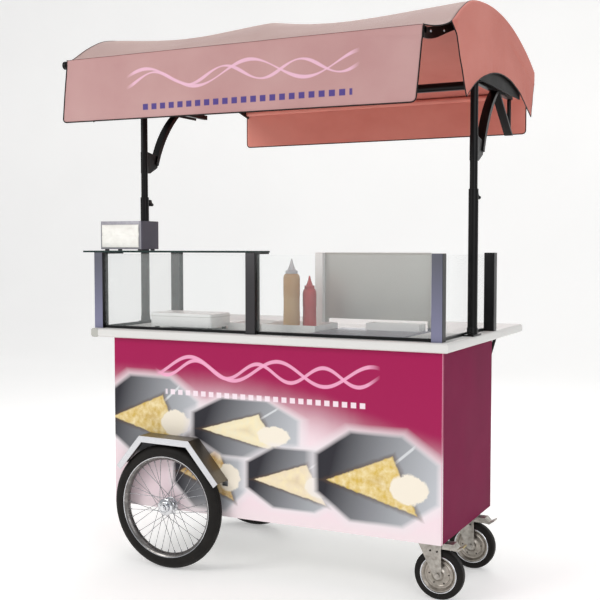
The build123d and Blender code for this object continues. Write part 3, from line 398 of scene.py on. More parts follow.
def edge_cap(name, x, y, wide, finish):
    """Moulded corner cap over the edge band, with a rounded face."""
    verts, faces = [], []
    rows, ring = 10, 28
    height = top_high.z - top_low.z
    for row in range(rows + 1):
        turn = math.pi / 2 * row / rows
        for step in range(ring):
            angle = 2 * math.pi * step / ring
            across = math.copysign(abs(math.cos(angle)) ** 0.5, math.cos(angle))
            across *= wide / 2 - 0.006 * (1 - math.cos(turn))
            up = math.copysign(abs(math.sin(angle)) ** 0.5, math.sin(angle))
            up *= height / 2 + 0.0006 - 0.006 * (1 - math.cos(turn))
            verts.append(Vector((x + across, y - 0.0022 * math.sin(turn), (top_low.z + top_high.z) / 2 + up)))
    for row in range(rows):
        for step in range(ring):
            after = (step + 1) % ring
            low, high = row * ring, (row + 1) * ring
            faces.append((low + step, low + after, high + after, high + step))
    faces.append(tuple(range(ring))[::-1])
    faces.append(tuple(rows * ring + step for step in range(ring)))
    return piece(name, verts, faces, finish, "cart", "worktop")


cap_grey = painted("cap_plastic", "#b9b9b3", "#a9a9a2", 0.5, 0.25)
edge_cap("worktop_end_cap", top_low.x + 0.022, top_low.y + 0.0016, 0.040, cap_grey)

# ---- Large wheels ----
# Black rubber tyres on chromed steel rims, laced with crossed wire spokes through steel
# nipples to a turned hub. The rim is rolled strip with a bright rolled lip on each side.
rubber = Finish("tyre_rubber")
rubber.mottled("#13110f", "#1d1a17", 14.0)
rubber.put("Roughness", 0.62 + (rubber.noise(30.0) - 0.5) * 0.3)
rubber.bump(rubber.noise(420.0, 4.0), 0.35, 0.0006)
chrome = metal("chrome_plate", "#e2e3e6", "#c4c6ca", 0.12, (1, 1, 1), 0.03)
spoke_steel = metal("spoke_wire", "#a9aaad", "#77797d", 0.26, (1, 1, 1), 0.03)


def revolved(profile, count, spot, closed=False, foot_first=False):
    """Points and faces of a profile turned through a full circle; an open one is capped at both ends."""
    verts, faces = [], []
    total = len(profile)
    for step in range(count):
        angle = 2 * math.pi * step / count
        for radius, offset in profile:
            verts.append(spot(radius * math.cos(angle), radius * math.sin(angle), offset))
    for step in range(count):
        after = (step + 1) % count
        for index in range(total if closed else total - 1):
            other = (index + 1) % total
            low, high = step * total, after * total
            faces.append((low + index, low + other, high + other, high + index))
    if not closed:
        first = tuple(step * total for step in range(count))
        last = tuple(step * total + total - 1 for step in range(count))
        faces += [first[::-1], last] if foot_first else [first, last[::-1]]
    return verts, faces


def lathe(name, profile, centre, finish, body, slot=None, count=96):
    """A turned piece about a line along Y; the profile is (radius, distance along Y), in millimetres."""
    verts, faces = revolved(profile, count, lambda a, b, c: centre + Vector((a, c, b)) / 1000, True)
    return piece(name, verts, faces, finish, body, slot)


def grown(name, item, finish, body, slot, ring=None, row=None):
    """Repeats a small mesh round a ring or along a row with a geometry-node tree, kept as a plain mesh."""
    tree = bpy.data.node_groups.new(name + "_nodes", "GeometryNodeTree")
    for label, kind in (
        ("Geometry", "Geometry"), ("Item", "Object"), ("Count", "Int"), ("Reach", "Vector"),
        ("Turn", "Vector"), ("Place", "Vector"),
    ):
        tree.interface.new_socket(label, in_out="INPUT", socket_type="NodeSocket" + kind)
    tree.interface.new_socket("Geometry", in_out="OUTPUT", socket_type="NodeSocketGeometry")
    nodes, links = tree.nodes, tree.links
    start = nodes.new("NodeGroupInput")
    end = nodes.new("NodeGroupOutput")
    item_info = nodes.new("GeometryNodeObjectInfo")
    links.new(start.outputs["Item"], item_info.inputs["Object"])
    onto = nodes.new("GeometryNodeInstanceOnPoints")
    links.new(item_info.outputs["Geometry"], onto.inputs["Instance"])
    if ring:
        points = nodes.new("GeometryNodeMeshCircle")
        parts = nodes.new("ShaderNodeSeparateXYZ")
        links.new(start.outputs["Reach"], parts.inputs[0])
        links.new(parts.outputs[0], points.inputs["Radius"])
        links.new(start.outputs["Count"], points.inputs["Vertices"])
        spot = nodes.new("GeometryNodeInputPosition")
        facing = nodes.new("FunctionNodeAlignRotationToVector")
        facing.axis = "X"
        links.new(spot.outputs[0], facing.inputs["Vector"])
        links.new(facing.outputs[0], onto.inputs["Rotation"])
    else:
        points = nodes.new("GeometryNodeMeshLine")
        links.new(start.outputs["Count"], points.inputs["Count"])
        links.new(start.outputs["Reach"], points.inputs["Offset"])
    links.new(points.outputs[0], onto.inputs["Points"])
    real = nodes.new("GeometryNodeRealizeInstances")
    links.new(onto.outputs[0], real.inputs[0])
    moved = nodes.new("GeometryNodeTransform")
    links.new(real.outputs[0], moved.inputs[0])
    links.new(start.outputs["Turn"], moved.inputs["Rotation"])
    links.new(start.outputs["Place"], moved.inputs["Translation"])
    painted_by = nodes.new("GeometryNodeSetMaterial")
    painted_by.inputs["Material"].default_value = finish.material
    links.new(moved.outputs[0], painted_by.inputs[0])
    links.new(painted_by.outputs[0], end.inputs[0])
    host = bpy.data.objects.new(name + "_host", bpy.data.meshes.new(name + "_host"))
    bpy.context.collection.objects.link(host)
    modifier = host.modifiers.new("grow", "NODES")
    modifier.node_group = tree
    sockets = [socket for socket in tree.interface.items_tree if socket.in_out == "INPUT"]
    keys = {socket.name: socket.identifier for socket in sockets}
    count, reach, turn, place = ring or row
    chosen = {"Item": item, "Count": count, "Reach": reach, "Turn": turn, "Place": tuple(place)}
    for label, value in chosen.items():
        modifier[keys[label]] = value
    bpy.context.view_layer.update()
    graph = bpy.context.evaluated_depsgraph_get()
    mesh = bpy.data.meshes.new_from_object(host.evaluated_get(graph))
    host.modifiers.remove(modifier)
    bpy.data.objects.remove(host)
    mesh.shade_smooth()
    mesh.set_sharp_from_angle(angle=math.radians(35))
    return shown(name, mesh, body, slot)


def seed(name, profile, finish, along, count=14):
    """A small turned item to repeat; its profile is (radius, distance) in millimetres along X, Y or Z."""
    def spot(a, b, c):
        a, b, c = a / 1000, b / 1000, c / 1000
        return {"X": (c, a, b), "Y": (a, c, b), "Z": (a, b, c)}[along]
    return piece(name, *revolved(profile, count, spot), finish, None)


quarter_turn = (math.pi / 2, 0.0, 0.0)
nipple = seed("nipple", [(1.1, 0), (2.6, 0), (2.6, -6), (1.8, -10), (1.3, -12)], spoke_steel, "X")
tyre_profile = [(214, -19), (219, -23), (226, -26)]
for index in range(49):
    angle = math.radians(-112 + 224 * index / 48)
    radius = 237 + 28 * math.cos(angle)
    offset = 28 * math.sin(angle)
    groove = 1.6 if index in (19, 20, 28, 29) else 0.0
    tyre_profile.append((radius - groove, offset))
tyre_profile += [(226, 26), (219, 23), (214, 19)]


def mirrored(profile):
    """A profile followed by its own mirror image, back to where it began."""
    return profile + [(radius, -offset) for radius, offset in profile[::-1]]


rim_profile = mirrored([
    (214.5, -21), (217, -21.8), (218, -20.2), (216, -18.6), (212, -17), (206, -10), (203.5, -4),
]) + mirrored([(209, 18), (203, 10.5), (200.6, 4.5)])
hub_profile = mirrored([
    (8.2, -31), (12, -31), (14, -29.5), (15.5, -26), (19, -24.5), (22, -23.5), (35, -22.2), (36, -21.4),
    (36, -18.6), (35, -17.8), (20, -16.8), (16, -13), (14.5, -6),
])
hub_cap_profile = [
    (16.5, 31.2), (24, 31.2), (25, 32.4), (25, 34.6), (23.6, 35.6), (21.5, 35.8), (21, 37.4), (19.6, 38.6),
    (17.4, 38.8), (16.5, 38),
]
rim_lip_radius = 0.2125
# A darker copy of the chrome for the rim's well between the lips: painted shade in the recess.
rim_well_shade = metal("rim_well_shade", "#8f8c8a", "#5c5957", 0.28, (1, 1, 1), 0.06)
wheel_x, wheel_out, wheel_up = -450, 380, 265
for wheel_name, wheel_y in (("front", -wheel_out), ("rear", wheel_out)):
    body = wheel_name + "_wheel"
    centre = at(wheel_x, wheel_y, wheel_up)
    tyre = lathe(body + "_tyre_rubber", tyre_profile, centre, rubber, body, "tyre", 160)
    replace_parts(tyre, body + "_tyre")
    rim = lathe(body + "_rim_strip", rim_profile, centre, chrome, body, "chrome", 160)
    recolour(rim, rim_well_shade, lambda face: (face.center - centre).xz.length < rim_lip_radius)
    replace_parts(rim, body + "_rim")
    hub = lathe(body + "_hub_turned", hub_profile, centre, chrome, body, "chrome", 64)
    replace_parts(hub, body + "_hub")
    outward = -1 if wheel_name == "front" else 1
    cap_outline = [(radius, outward * offset) for radius, offset in hub_cap_profile]
    lathe(body + "_hub_cap", cap_outline, centre, chrome, body, "chrome", 64)
    dress(body + "_spokes", spoke_steel)
    grown(
        body + "_nipples", nipple, spoke_steel, body, "chrome",
        ring=(36, (0.2015, 0, 0), quarter_turn, centre),
    )
softened("wheel_axle", 0.0006, chrome)
bpy.data.objects.remove(nipple)

# ---- Mudguards ----
# Folded brushed stainless sheet in three facets, with a lip turned down along the outer edge, held
# to the cabinet by small riveted angle brackets.
stainless = metal("brushed_stainless", "#8a8378", "#6b655c", 0.40, (1, 30, 1), 0.2)
# A much lighter copy of the stainless for the turned-down lip: painted highlight.
lip_highlight = metal("lip_painted_highlight", "#d9dadd", "#c2c4c8", 0.30, (1, 1, 24), 0.12)
for wheel_name in ("front", "rear"):
    guard = softened(wheel_name + "_fender", 0.0007, stainless, 2)
    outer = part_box(wheel_name + "_fender")[0 if wheel_name == "front" else 1].y
    recolour(guard, lip_highlight, lambda face: abs(face.center.y - outer) < 0.0026)
softened("fender_brackets", 0.0005, zinc)
rivet = seed("rivet", [(0.6, 0.9), (2.2, 0.5), (3.0, -0.2), (3.0, -0.9)], zinc, "Z")
for wheel_name, turn in (("front", -1), ("rear", 1)):
    for end in (-1, 1):
        foot_x, foot_z = (-688, 428) if end < 0 else (-178, 396)
        spot = at(foot_x - end * 13, turn * 341, foot_z - 1.6)
        grown(
            wheel_name + "_bracket_rivets" + ("_left" if end < 0 else "_right"), rivet, zinc, "cart", "zinc",
            row=(2, (0.012, 0, 0), (0, 0, 0), spot + Vector((-0.006, 0, -0.0022))),
        )
bpy.data.objects.remove(rivet)

# ---- Casters ----
# Zinc-plated pressed forks on ball raceways, disc wheels of two pressed halves riveted together
# inside a rolled ring, solid rubber tyres, and a brake housing with a turned-up toe.
caster_zinc = metal("caster_zinc", "#c3bfb8", "#8d8880", 0.40, (1, 1, 1), 0.35)
disc_zinc = metal("disc_zinc", "#b3aca3", "#8b857c", 0.34, (1, 1, 1), 0.30)
brass_zinc = metal("yellow_zinc", "#b8a56a", "#8f8a6a", 0.38, (1, 1, 1), 0.3)
bolt_dark = metal("bolt_dark", "#4a4642", "#35322f", 0.45)
softened("caster_plates", 0.0005, caster_zinc)
disc_profile = mirrored([
    (8.4, -25.2), (13, -25.2), (15, -24), (20, -23), (21, -17), (26, -12), (34, -8.5), (44, -8.0), (46, -9.4),
    (49, -9.4), (51, -8.0), (57, -8.4), (61, -13), (65, -17), (69.4, -17.6), (69.8, -16),
])
caster_tyre_profile = [(70, -19.6), (72, -20), (88, -20)]
for index in range(17):
    angle = math.pi / 2 * (1 - index / 16)
    caster_tyre_profile.append((89 + 11 * math.cos(angle), -9 - 11 * math.sin(angle)))
caster_tyre_profile = mirrored(caster_tyre_profile)
bead_profile = [(69.6, -19.2), (71.0, -20.8), (73.4, -21.0), (74.6, -20.0), (73.4, -19.2)]
disc_rivet_profile = [(0.4, -3.0), (2.4, -2.3), (3.2, 0), (3.2, 16), (3.2, 16.2), (2.4, 18.5), (0.4, 19.2)]
disc_rivet = seed("disc_rivet", disc_rivet_profile, bolt_dark, "Z")
for name, y in (("front", -233), ("rear", 200)):
    centre = at(719, y, 100)
    roller = name + "_roller"
    disc = lathe(name + "_caster_disc", disc_profile, centre, disc_zinc, roller, "zinc", 96)
    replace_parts(disc, name + "_caster_wheel")
    tread = lathe(name + "_caster_tread", caster_tyre_profile, centre, rubber, roller, "caster_rubber", 120)
    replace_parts(tread, name + "_caster_tyre")
    for side in (-1, 1):
        lathe(
            name + "_disc_ring" + ("_outer" if side < 0 else "_inner"),
            [(radius, -side * offset) for radius, offset in bead_profile], centre, chrome, roller, "zinc", 96,
        )
    grown(
        name + "_disc_rivets", disc_rivet, bolt_dark, roller, "zinc",
        ring=(6, (0.040, 0, 0), quarter_turn, centre + Vector((0, 0.0081, 0))),
    )
    softened(name + "_caster_fork", 0.0014, caster_zinc, 3)
    pedal = softened(name + "_brake_pedal", 0.0016, caster_zinc, 3)
    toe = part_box(name + "_brake_pedal")[1].x - 0.028
    recolour(pedal, brass_zinc, lambda face: name == "front" and face.center.x > toe)
    leg_bolt_profile = [(0.4, -4.6), (3.4, -4.0), (4.0, 0), (4.0, 62), (3.4, 66), (0.4, 66.6)]
    leg_bolt = seed("leg_bolt", leg_bolt_profile, bolt_dark, "Y")
    grown(
        name + "_fork_bolts", leg_bolt, bolt_dark, name + "_caster", "zinc",
        row=(2, (0.028, 0, -0.002), (0, 0, 0), at(690, y - 31, 196)),
    )
    bpy.data.objects.remove(leg_bolt)
bpy.data.objects.remove(disc_rivet)

# ---- Masts and clamp knobs ----
# Black powder-coated steel tubes, the upper sliding in the lower and clamped by a three-lobed
# moulded knob; each mast stands on a bolted flange.
softened("mast_feet", 0.0006, black_paint)
softened("mast_lower_tubes", 0.0006, black_paint)
softened("mast_upper_tubes", 0.0004, black_paint)
knob_plastic = painted("knob_plastic", "#161616", "#1f1f1f", 0.5, 0.35)
softened("clamp_knob_left", 0.0008, knob_plastic)
softened("clamp_knob_right", 0.0008, knob_plastic)

# ---- Glass guard ----
# Square anodised posts stand on the worktop and hold clear toughened glass in a black glazing
# channel; a glass shelf with polished edges lies on two arms over the left bay.
post_black = painted("post_black", "#0d0d0e", "#171719", 0.32, 0.08, 2.0)
# The front faces of the posts get a lighter blue-grey copy of the paint, lightest near the worktop: painted
# reflection.
post_front_reflection = painted("post_front_painted_reflection", "#5c5d68", "#4d4e58", 0.34, 0.05, 1.5)
post_front_reflection.put("Base Color", post_front_reflection.mix(
    ((post_front_reflection.axis(2) - 1.03) * 3.4).clamped(), colour("#7d7d97"), colour("#5e5f69")
))
middle_post_reflection = painted("middle_post_reflection", "#3f3d3f", "#302e30", 0.32, 0.06, 2.0)
posts = softened("guard_posts", 0.0008, post_black)
middle_post = at(-66, 0, 0)
recolour(posts, post_front_reflection, lambda face: face.normal.y < -0.6 and face.center.y < middle_post.y)
# The middle post's front face gets a dark grey copy of the paint instead: painted reflection.
recolour(
    posts, middle_post_reflection, lambda face: face.material_index == 1 and abs(face.center.x - middle_post.x) < 0.04
)
channel_black = painted("channel_black", "#121213", "#1b1b1d", 0.35, 0.08)
softened("guard_fittings", 0.0005, channel_black)


def clear(name, tint, alpha):
    """Clear sheet glass, with faint smears in its gloss."""
    glass = Finish(name, IOR=1.5)
    smear = glass.noise(5.0, 4.0, (1, 1, 0.4))
    glass.put("Base Color", glass.mix(smear, colour(tint), colour("#dfe8e4")))
    glass.put("Roughness", 0.02 + smear * 0.05)
    glass.put("Alpha", alpha + (smear - 0.5) * 0.05)
    return glass


softened("guard_glass", 0.0006, clear("guard_glass_clear", "#dfe6e6", 0.085))
shelf = softened("glass_shelf", 0.0008, clear("shelf_glass_clear", "#aebfba", 0.18))
glass_edge = painted("glass_edge", "#2c3a38", "#1f2c2a", 0.12, 0.02, 20.0)
recolour(shelf, glass_edge, lambda face: abs(face.normal.z) < 0.6)

# ---- Things on the counter ----
# A white plastic divider post, a brushed panel and base plate in the right bay, moulded white trays,
# two squeeze bottles with cone nozzles, a low hot plate and a napkin dispenser with napkins in it.
white_plastic = painted("white_plastic", "#ececea", "#e2e2df", 0.28, 0.06, 3.0)
softened("divider_post", 0.0014, white_plastic, 3)
panel_steel = Finish("panel_steel", metallic=0.25)
brush = panel_steel.noise(50.0, 4.0, (1, 1, 30))
# Below 1.03 m, which takes in the base plate, the steel gets a darker blue-grey: painted reflection.
panel_steel.put("Base Color", panel_steel.mix(
    (panel_steel.axis(2) - 1.03).below(0.0, 0.004), colour("#b9b8b3"), colour("#8d8c99")
))
panel_steel.put("Roughness", 0.35 + (brush - 0.5) * 0.2)
panel_steel.bump(brush, 0.1, 0.0003)
softened("back_panel", 0.0005, panel_steel)
softened("serving_trays", 0.0012, white_plastic, 3)
softened("hot_plate", 0.0016, white_plastic, 3)
plate_low, plate_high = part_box("hot_plate")
foot_rubber = painted("foot_rubber", "#151515", "#1e1e1e", 0.6, 0.3)
strip(
    "hot_plate_seam", (plate_low.x - 0.0004, plate_low.y - 0.0004, plate_low.z + 0.0575),
    (plate_high.x + 0.0004, plate_high.y + 0.0004, plate_low.z + 0.0592), cap_grey, "cart", "white_plastic",
    0.0002,
)


def standing(name, profile, foot, finish, slot, count=40):
    """A turned piece that stands on a point; the profile is (radius, height), in millimetres."""
    verts, faces = revolved(profile, count, lambda a, b, c: foot + Vector((a, b, c)) / 1000, foot_first=True)
    return piece(name, verts, faces, finish, "cart", slot)


for name, low, high, lift in (
    ("hot_plate_foot", plate_low, plate_high, 0.014),
    ("dispenser_foot", *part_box("napkin_dispenser"), 0.006),
):
    for place in range(4):
        x = (low.x + 0.022) if place % 2 else (high.x - 0.022)
        y = (low.y + 0.022) if place // 2 else (high.y - 0.022)
        standing(
            name + "_" + str(place), [(8.6, 0.2), (9.8, 0.8), (9.6, lift * 1000 - 0.6), (9.0, lift * 1000)],
            Vector((x, y, low.z)), foot_rubber, "black_plastic", 24,
        )


def squeeze(name, base, other):
    """Soft translucent squeeze-bottle plastic."""
    soft = painted(name, base, other, 0.36, 0.1, 9.0, Coat_Weight=0.2)
    soft.put("Subsurface Weight", 0.15)
    soft.put("Subsurface Radius", (0.02, 0.01, 0.006))
    return soft


caramel = squeeze("caramel_plastic", "#b98d58", "#c9a676")
ketchup = squeeze("red_plastic", "#b5202a", "#c8323a")
nozzle_grey = painted("nozzle_plastic", "#c9c6c8", "#b9b6ba", 0.4, 0.1)


def bottle_outline(radius, body, top):
    """Outline of a squeeze bottle from its foot to its neck."""
    return [
        (radius - 4, 0.1), (radius - 1.2, 1.2), (radius - 0.2, 5), (radius - 0.2, body * 0.32),
        (radius - 1.2, body * 0.36), (radius - 1.2, body * 0.60), (radius - 0.2, body * 0.64),
        (radius - 0.2, body - 6),
        (radius - 2, body + 2), (radius * 0.86, body + 8), (radius * 0.73, top - 0.2), (radius * 0.40, top),
    ]


def nozzle_outline(radius, foot, cone):
    """Outline of the ribbed collar and cone nozzle."""
    ribs = []
    for index in range(6):
        ribs.append((radius * 0.745, foot + 1.2 + index * 2.0))
        ribs.append((radius * 0.715, foot + 2.2 + index * 2.0))
    return [
        (radius * 0.72, foot + 0.2), *ribs, (radius * 0.70, foot + 14), (radius * 0.49, foot + 15.5),
        (radius * 0.38, foot + 14 + cone * 0.22), (radius * 0.22, foot + 14 + cone * 0.55),
        (3.4, foot + 14 + cone * 0.92), (2.4, foot + 13.8 + cone), (1.0, foot + 13.8 + cone),
    ]


for name, x, y, radius, body, cone, bottle_finish, nozzle_finish in (
    ("caramel", 0, -95, 36, 230, 50, caramel, nozzle_grey), ("red", 66, -55, 30, 165, 42, ketchup, ketchup)
):
    foot = at(x, y, 1017.5)
    outline = bottle_outline(radius, body, body + 12)
    filled = standing(name + "_bottle", outline, foot, bottle_finish, "bottle_plastic")
    standing(name + "_nozzle", nozzle_outline(radius, body + 12, cone), foot, nozzle_finish, "bottle_plastic")
    if name == "caramel":
        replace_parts(filled, "sauce_bottles")

case_metal = metal("dispenser_steel", "#a7a5ab", "#8f8d95", 0.34, (1, 20, 1))
case_side = painted("dispenser_side", "#5c5a66", "#4b4955", 0.4, 0.1)
case = softened("napkin_dispenser", 0.0018, case_metal, 3)
recolour(case, case_side, lambda face: abs(face.normal.x) > 0.8)
paper = Finish("napkin_paper")
paper.mottled("#f4f3ee", "#e7e5de", 20.0)
paper.put("Roughness", 0.85 + (paper.noise(40.0) - 0.5) * 0.1)
paper.bump(paper.noise(300.0, 5.0), 0.4, 0.0006)
case_low, case_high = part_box("napkin_dispenser")


def napkin(name, side, seed_value):
    """Folded napkins pushed out of the slot in the face, creased and uneven at their edge."""
    across, up = 44, 26
    face_y = case_low.y if side < 0 else case_high.y
    verts, faces = [], []
    for row in range(up + 1):
        v = row / up
        for column in range(across + 1):
            u = column / across
            x = case_low.x + 0.012 + (case_high.x - case_low.x - 0.024) * u
            z = case_low.z + 0.014 + 0.100 * v
            ends = min(1.0, 6.0 * min(u, 1 - u) + 0.15) * min(1.0, 5.0 * min(v, 1 - v) + 0.05)
            crease = noise.noise(Vector((u * 7, v * 5, seed_value)))
            crease += 0.5 * noise.noise(Vector((u * 19, v * 11, seed_value)))
            slot_line = math.exp(-((v - 0.58) / 0.05) ** 2)
            out = 0.0012 + ends * (0.0064 + 0.0062 * crease) - 0.0040 * slot_line
            verts.append(Vector((x, face_y + side * max(0.0004, out), z + 0.002 * crease * ends)))
    for row in range(up):
        for column in range(across):
            a = row * (across + 1) + column
            faces.append((a, a + 1, a + across + 2, a + across + 1)[::1 if side < 0 else -1])
    made = piece(name, verts, faces, paper, None, sharp=180)
    solid = made.modifiers.new("thick", "SOLIDIFY")
    solid.thickness = 0.0006
    solid.offset = -1
    return finished(made, "cart")


def finished(made, body):
    """Applies a piece's modifiers and lets it ride on its body."""
    bpy.context.view_layer.update()
    graph = bpy.context.evaluated_depsgraph_get()
    mesh = bpy.data.meshes.new_from_object(made.evaluated_get(graph))
    made.modifiers.clear()
    made.data = mesh
    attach(made, body)
    return made


napkin("napkins_front", -1, 3)
napkin("napkins_rear", 1, 8)

# ---- Canopy frame ----
# Black powder-coated tube hoops, eave tubes and a cross beam, curved flat ribs bolted across both
# ends, and flat curved braces that carry the canopy from a collar on each mast.
# The head plates get their own matt black: dark sheets under each hooded end that stand in for the shade
# there, as painted shade.
head_plate_shade_black = painted("head_plate_shade_black", "#050505", "#0a0909", 0.55, 0.15)
for node, width in (
    ("side_rails", 0.0008), ("hood_hoops", 0.0012), ("eave_tubes", 0.0008), ("mast_beam", 0.0005),
    ("canopy_braces", 0.0010), ("head_plates", 0.0008),
):
    softened(node, width, head_plate_shade_black if node == "head_plates" else black_paint)
bolt_bright = metal("bolt_bright", "#c9cbd0", "#9b9da2", 0.25)
arm_bolt_profile = [(0.4, 4.4), (3.2, 4.0), (5.4, 2.6), (6.2, 0.4), (6.2, -0.6)]
arm_bolt = seed("arm_bolt", arm_bolt_profile, bolt_bright, "X", 20)
for side in (-1, 1):
    arm_face = (765 - 16 - 2) if side > 0 else (-840 + 16 + 2)
    turn = (0, 0, 0) if side > 0 else (0, 0, math.pi)
    grown(
        "arm_bolts" + ("_left" if side < 0 else "_right"), arm_bolt, bolt_bright, "canopy", "zinc",
        row=(2, (0, 0.150 * side, 0.030), turn, at(arm_face, -461, 2149)),
    )
bpy.data.objects.remove(arm_bolt)

# ---- Canopy cover ----
# Coated awning cloth, dusty pink outside and salmon inside, sewn with black piping along every
# edge and seam. The roof hangs over three hoops and sags between them; valances hang from the
# eave tubes, and a hooded flap with an arched foot closes each end.
roof_line = [
    (-533, 2160.5), (-470, 2164), (-417, 2187), (-300, 2258), (-188, 2307), (-20, 2334),
    (147, 2340), (330, 2325), (500, 2290), (660, 2240), (790, 2185), (890, 2150), (988, 2125.5),
]
middle_x = -48
front_eave, hood_front, hood_back, rear_eave = -533, -417, 790, 988
front_half, hood_half, rear_half = 793, 870, 780
shoulder = 12


def crown(y):
    """Height of the cover's line at a depth, smooth through the sewn line's points."""
    y = min(max(y, roof_line[0][0]), roof_line[-1][0])
    index = max(i for i in range(len(roof_line) - 1) if roof_line[i][0] <= y)
    (y1, z1), (y2, z2) = roof_line[index], roof_line[index + 1]
    y0, z0 = roof_line[max(index - 1, 0)]
    y3, z3 = roof_line[min(index + 2, len(roof_line) - 1)]
    m1 = (z2 - z0) / (y2 - y0)
    m2 = (z3 - z1) / (y3 - y1)
    t = (y - y1) / (y2 - y1)
    step = y2 - y1
    return (
        (2 * t ** 3 - 3 * t ** 2 + 1) * z1 + (t ** 3 - 2 * t ** 2 + t) * step * m1
        + (-2 * t ** 3 + 3 * t ** 2) * z2 + (t ** 3 - t ** 2) * step * m2
    )


def ease(t):
    t = min(max(t, 0.0), 1.0)
    return t * t * (3 - 2 * t)


def half_width(y):
    """Half width of the roof: eave, flare to the hood, and rear eave."""
    hood = hood_half - shoulder
    if y < hood_front:
        return front_half + (hood - front_half) * ease((y - front_eave) / (hood_front - front_eave))
    if y > hood_back:
        return hood + (rear_half - hood) * ease((y - hood_back) / (rear_eave - hood_back))
    return hood


def sag(x, y):
    """How far the cloth hangs below the line between two hoops."""
    reach = half_width(y)
    left, right = middle_x - reach, middle_x + reach
    if x < middle_x:
        share = ((x - left) / (middle_x - left)) ** 0.95
    else:
        share = ((x - middle_x) / (right - middle_x)) ** 0.72
    along = (y - front_eave) / (rear_eave - front_eave)
    depth = 27 * math.sin(math.pi * min(max(share, 0), 1)) ** 1.3
    return depth * min(1.0, math.sin(math.pi * min(max(along, 0), 1)) * 2.0) ** 0.8


def cloth(name, outside, low, high, sheen, hung=1.0):
    """Coated cloth: drifting colour, soft folds in the gloss, and a fine weave."""
    made = Finish(name, Sheen_Weight=sheen)
    made.mottled(low, high, 2.2 * hung, (1, 1, 1.6 / hung ** 2))
    made.put("Roughness", (0.42 if outside else 0.6) + (made.noise(5.0) - 0.5) * 0.16)
    weave = made.node("ShaderNodeTexWave", {"bands_direction": "X"}, {"Vector": made.place(), "Scale": 320.0})
    other = made.node("ShaderNodeTexWave", {"bands_direction": "Z"}, {"Vector": made.place(), "Scale": 320.0})
    hanging = made.noise(6.0 * hung, 4.0, (1, 1, 0.6 / hung ** 2)) * 2.4 * hung
    return made.bump((weave + other) * 0.12 + hanging + made.noise(30.0, 3.0) * 0.2, 0.5, 0.005)


roof_cloth = cloth("roof_cloth", True, "#b99a93", "#a98882", 0.15)
# A darker salmon copy of the roof cloth for the hooded flaps and the rear valance's outer face: painted
# shade.
hood_cloth_shaded = cloth("hood_cloth_shaded", True, "#b07868", "#8f594b", 0.10, 1.8)
# A lighter copy of the roof cloth for the front valance: painted light.
valance_cloth_lit = cloth("valance_cloth_lit", True, "#c9a09f", "#bd908f", 0.2)
lining = cloth("lining_cloth", False, "#d38377", "#c47064", 0.0)
# A lighter copy of the lining for the rear valance's inner face and the rear tube's sleeve: painted light for
# the light that comes through the cloth.
lining_lit = cloth("lining_lit", False, "#f2a092", "#e48b7d", 0.0)
piping = painted("piping", "#14100f", "#1d1817", 0.45, 0.3)

# the valance's print: a pale flourish and a row of dark blue dashes
vx = valance_cloth_lit.axis(0)
vz = valance_cloth_lit.axis(2)
# The valance's lighter base tint is painted light; the flourish and the dashes below are print.
tone = valance_cloth_lit.mix((valance_cloth_lit.noise(2.4, 4.0) - 0.3) * 2.0, colour("#c9a09d"), colour("#b98887"))
for height, reach, pitch, phase in ((2.052, 0.042, 13.0, 0.4), (2.048, 0.030, 19.0, 2.0)):
    wave = vz - height - (vx * pitch + phase).math("SINE") * reach
    swell = 0.0028 + ((vx * pitch * 2.0).math("SINE") + 1.0) * 0.0022
    band = (wave.math("ABSOLUTE") - swell).below(0.0, 0.003)
    tone = valance_cloth_lit.mix(
        band * (vx - 0.03).math("ABSOLUTE").below(0.50, 0.04) * 0.9, tone, colour("#efbfd4")
    )
dash = ((vx * 24.0).math("FRACT") - 0.5).math("ABSOLUTE").below(0.30, 0.04)
dash = dash * (vz - 1.942).math("ABSOLUTE").below(0.012, 0.003)
dash = dash * (vx - 0.05).math("ABSOLUTE").below(0.47, 0.005)
valance_cloth_lit.put("Base Color", valance_cloth_lit.mix(dash * 0.92, tone, colour("#3b2f86")))


def cloth_grid(name, rows, columns, point, outer, flip=False, inner=lining):
    """A sheet of cloth from a grid of points, with a salmon inner face; point(u, v) is in millimetres."""
    verts = [at(*point(c / columns, r / rows)) for r in range(rows + 1) for c in range(columns + 1)]
    faces = []
    for r in range(rows):
        for c in range(columns):
            a = r * (columns + 1) + c
            quad = (a, a + 1, a + columns + 2, a + columns + 1)
            faces.append(quad[::-1] if flip else quad)
    made = piece(name, verts, faces, outer, None, sharp=180)
    made.data.materials.append(inner.material)
    made.data.materials.append(piping.material)
    thick = made.modifiers.new("thick", "SOLIDIFY")
    thick.thickness = 0.0012
    thick.offset = -1
    thick.use_even_offset = False
    thick.material_offset = 1
    thick.material_offset_rim = 2
    return finished(made, "canopy")


def tube(name, path, radius, finish, body, slot, ring=8, closed=False):
    """A round cord along a path of points in the frame."""
    verts, faces = [], []
    total = len(path)
    side = None
    for index, spot in enumerate(path):
        before = path[index - 1] if index or closed else path[index]
        after = path[(index + 1) % total] if index < total - 1 or closed else path[index]
        run = (after - before).normalized()
        if side is None:
            side = run.orthogonal().normalized()
        side = (side - run * side.dot(run)).normalized()
        up = run.cross(side)
        for step in range(ring):
            angle = 2 * math.pi * step / ring
            verts.append(spot + (side * math.cos(angle) + up * math.sin(angle)) * radius)
    for index in range(total if closed else total - 1):
        after = (index + 1) % total
        for step in range(ring):
            other = (step + 1) % ring
            low, high = index * ring, after * ring
            faces.append((low + step, low + other, high + other, high + step))
    if not closed:
        faces.append(tuple(range(ring))[::-1])
        faces.append(tuple((total - 1) * ring + step for step in range(ring)))
    return piece(name, verts, faces, finish, body, slot)


def depths(v):
    """Even steps over the roof, from the front eave to the rear eave."""
    return front_eave + (rear_eave - front_eave) * v


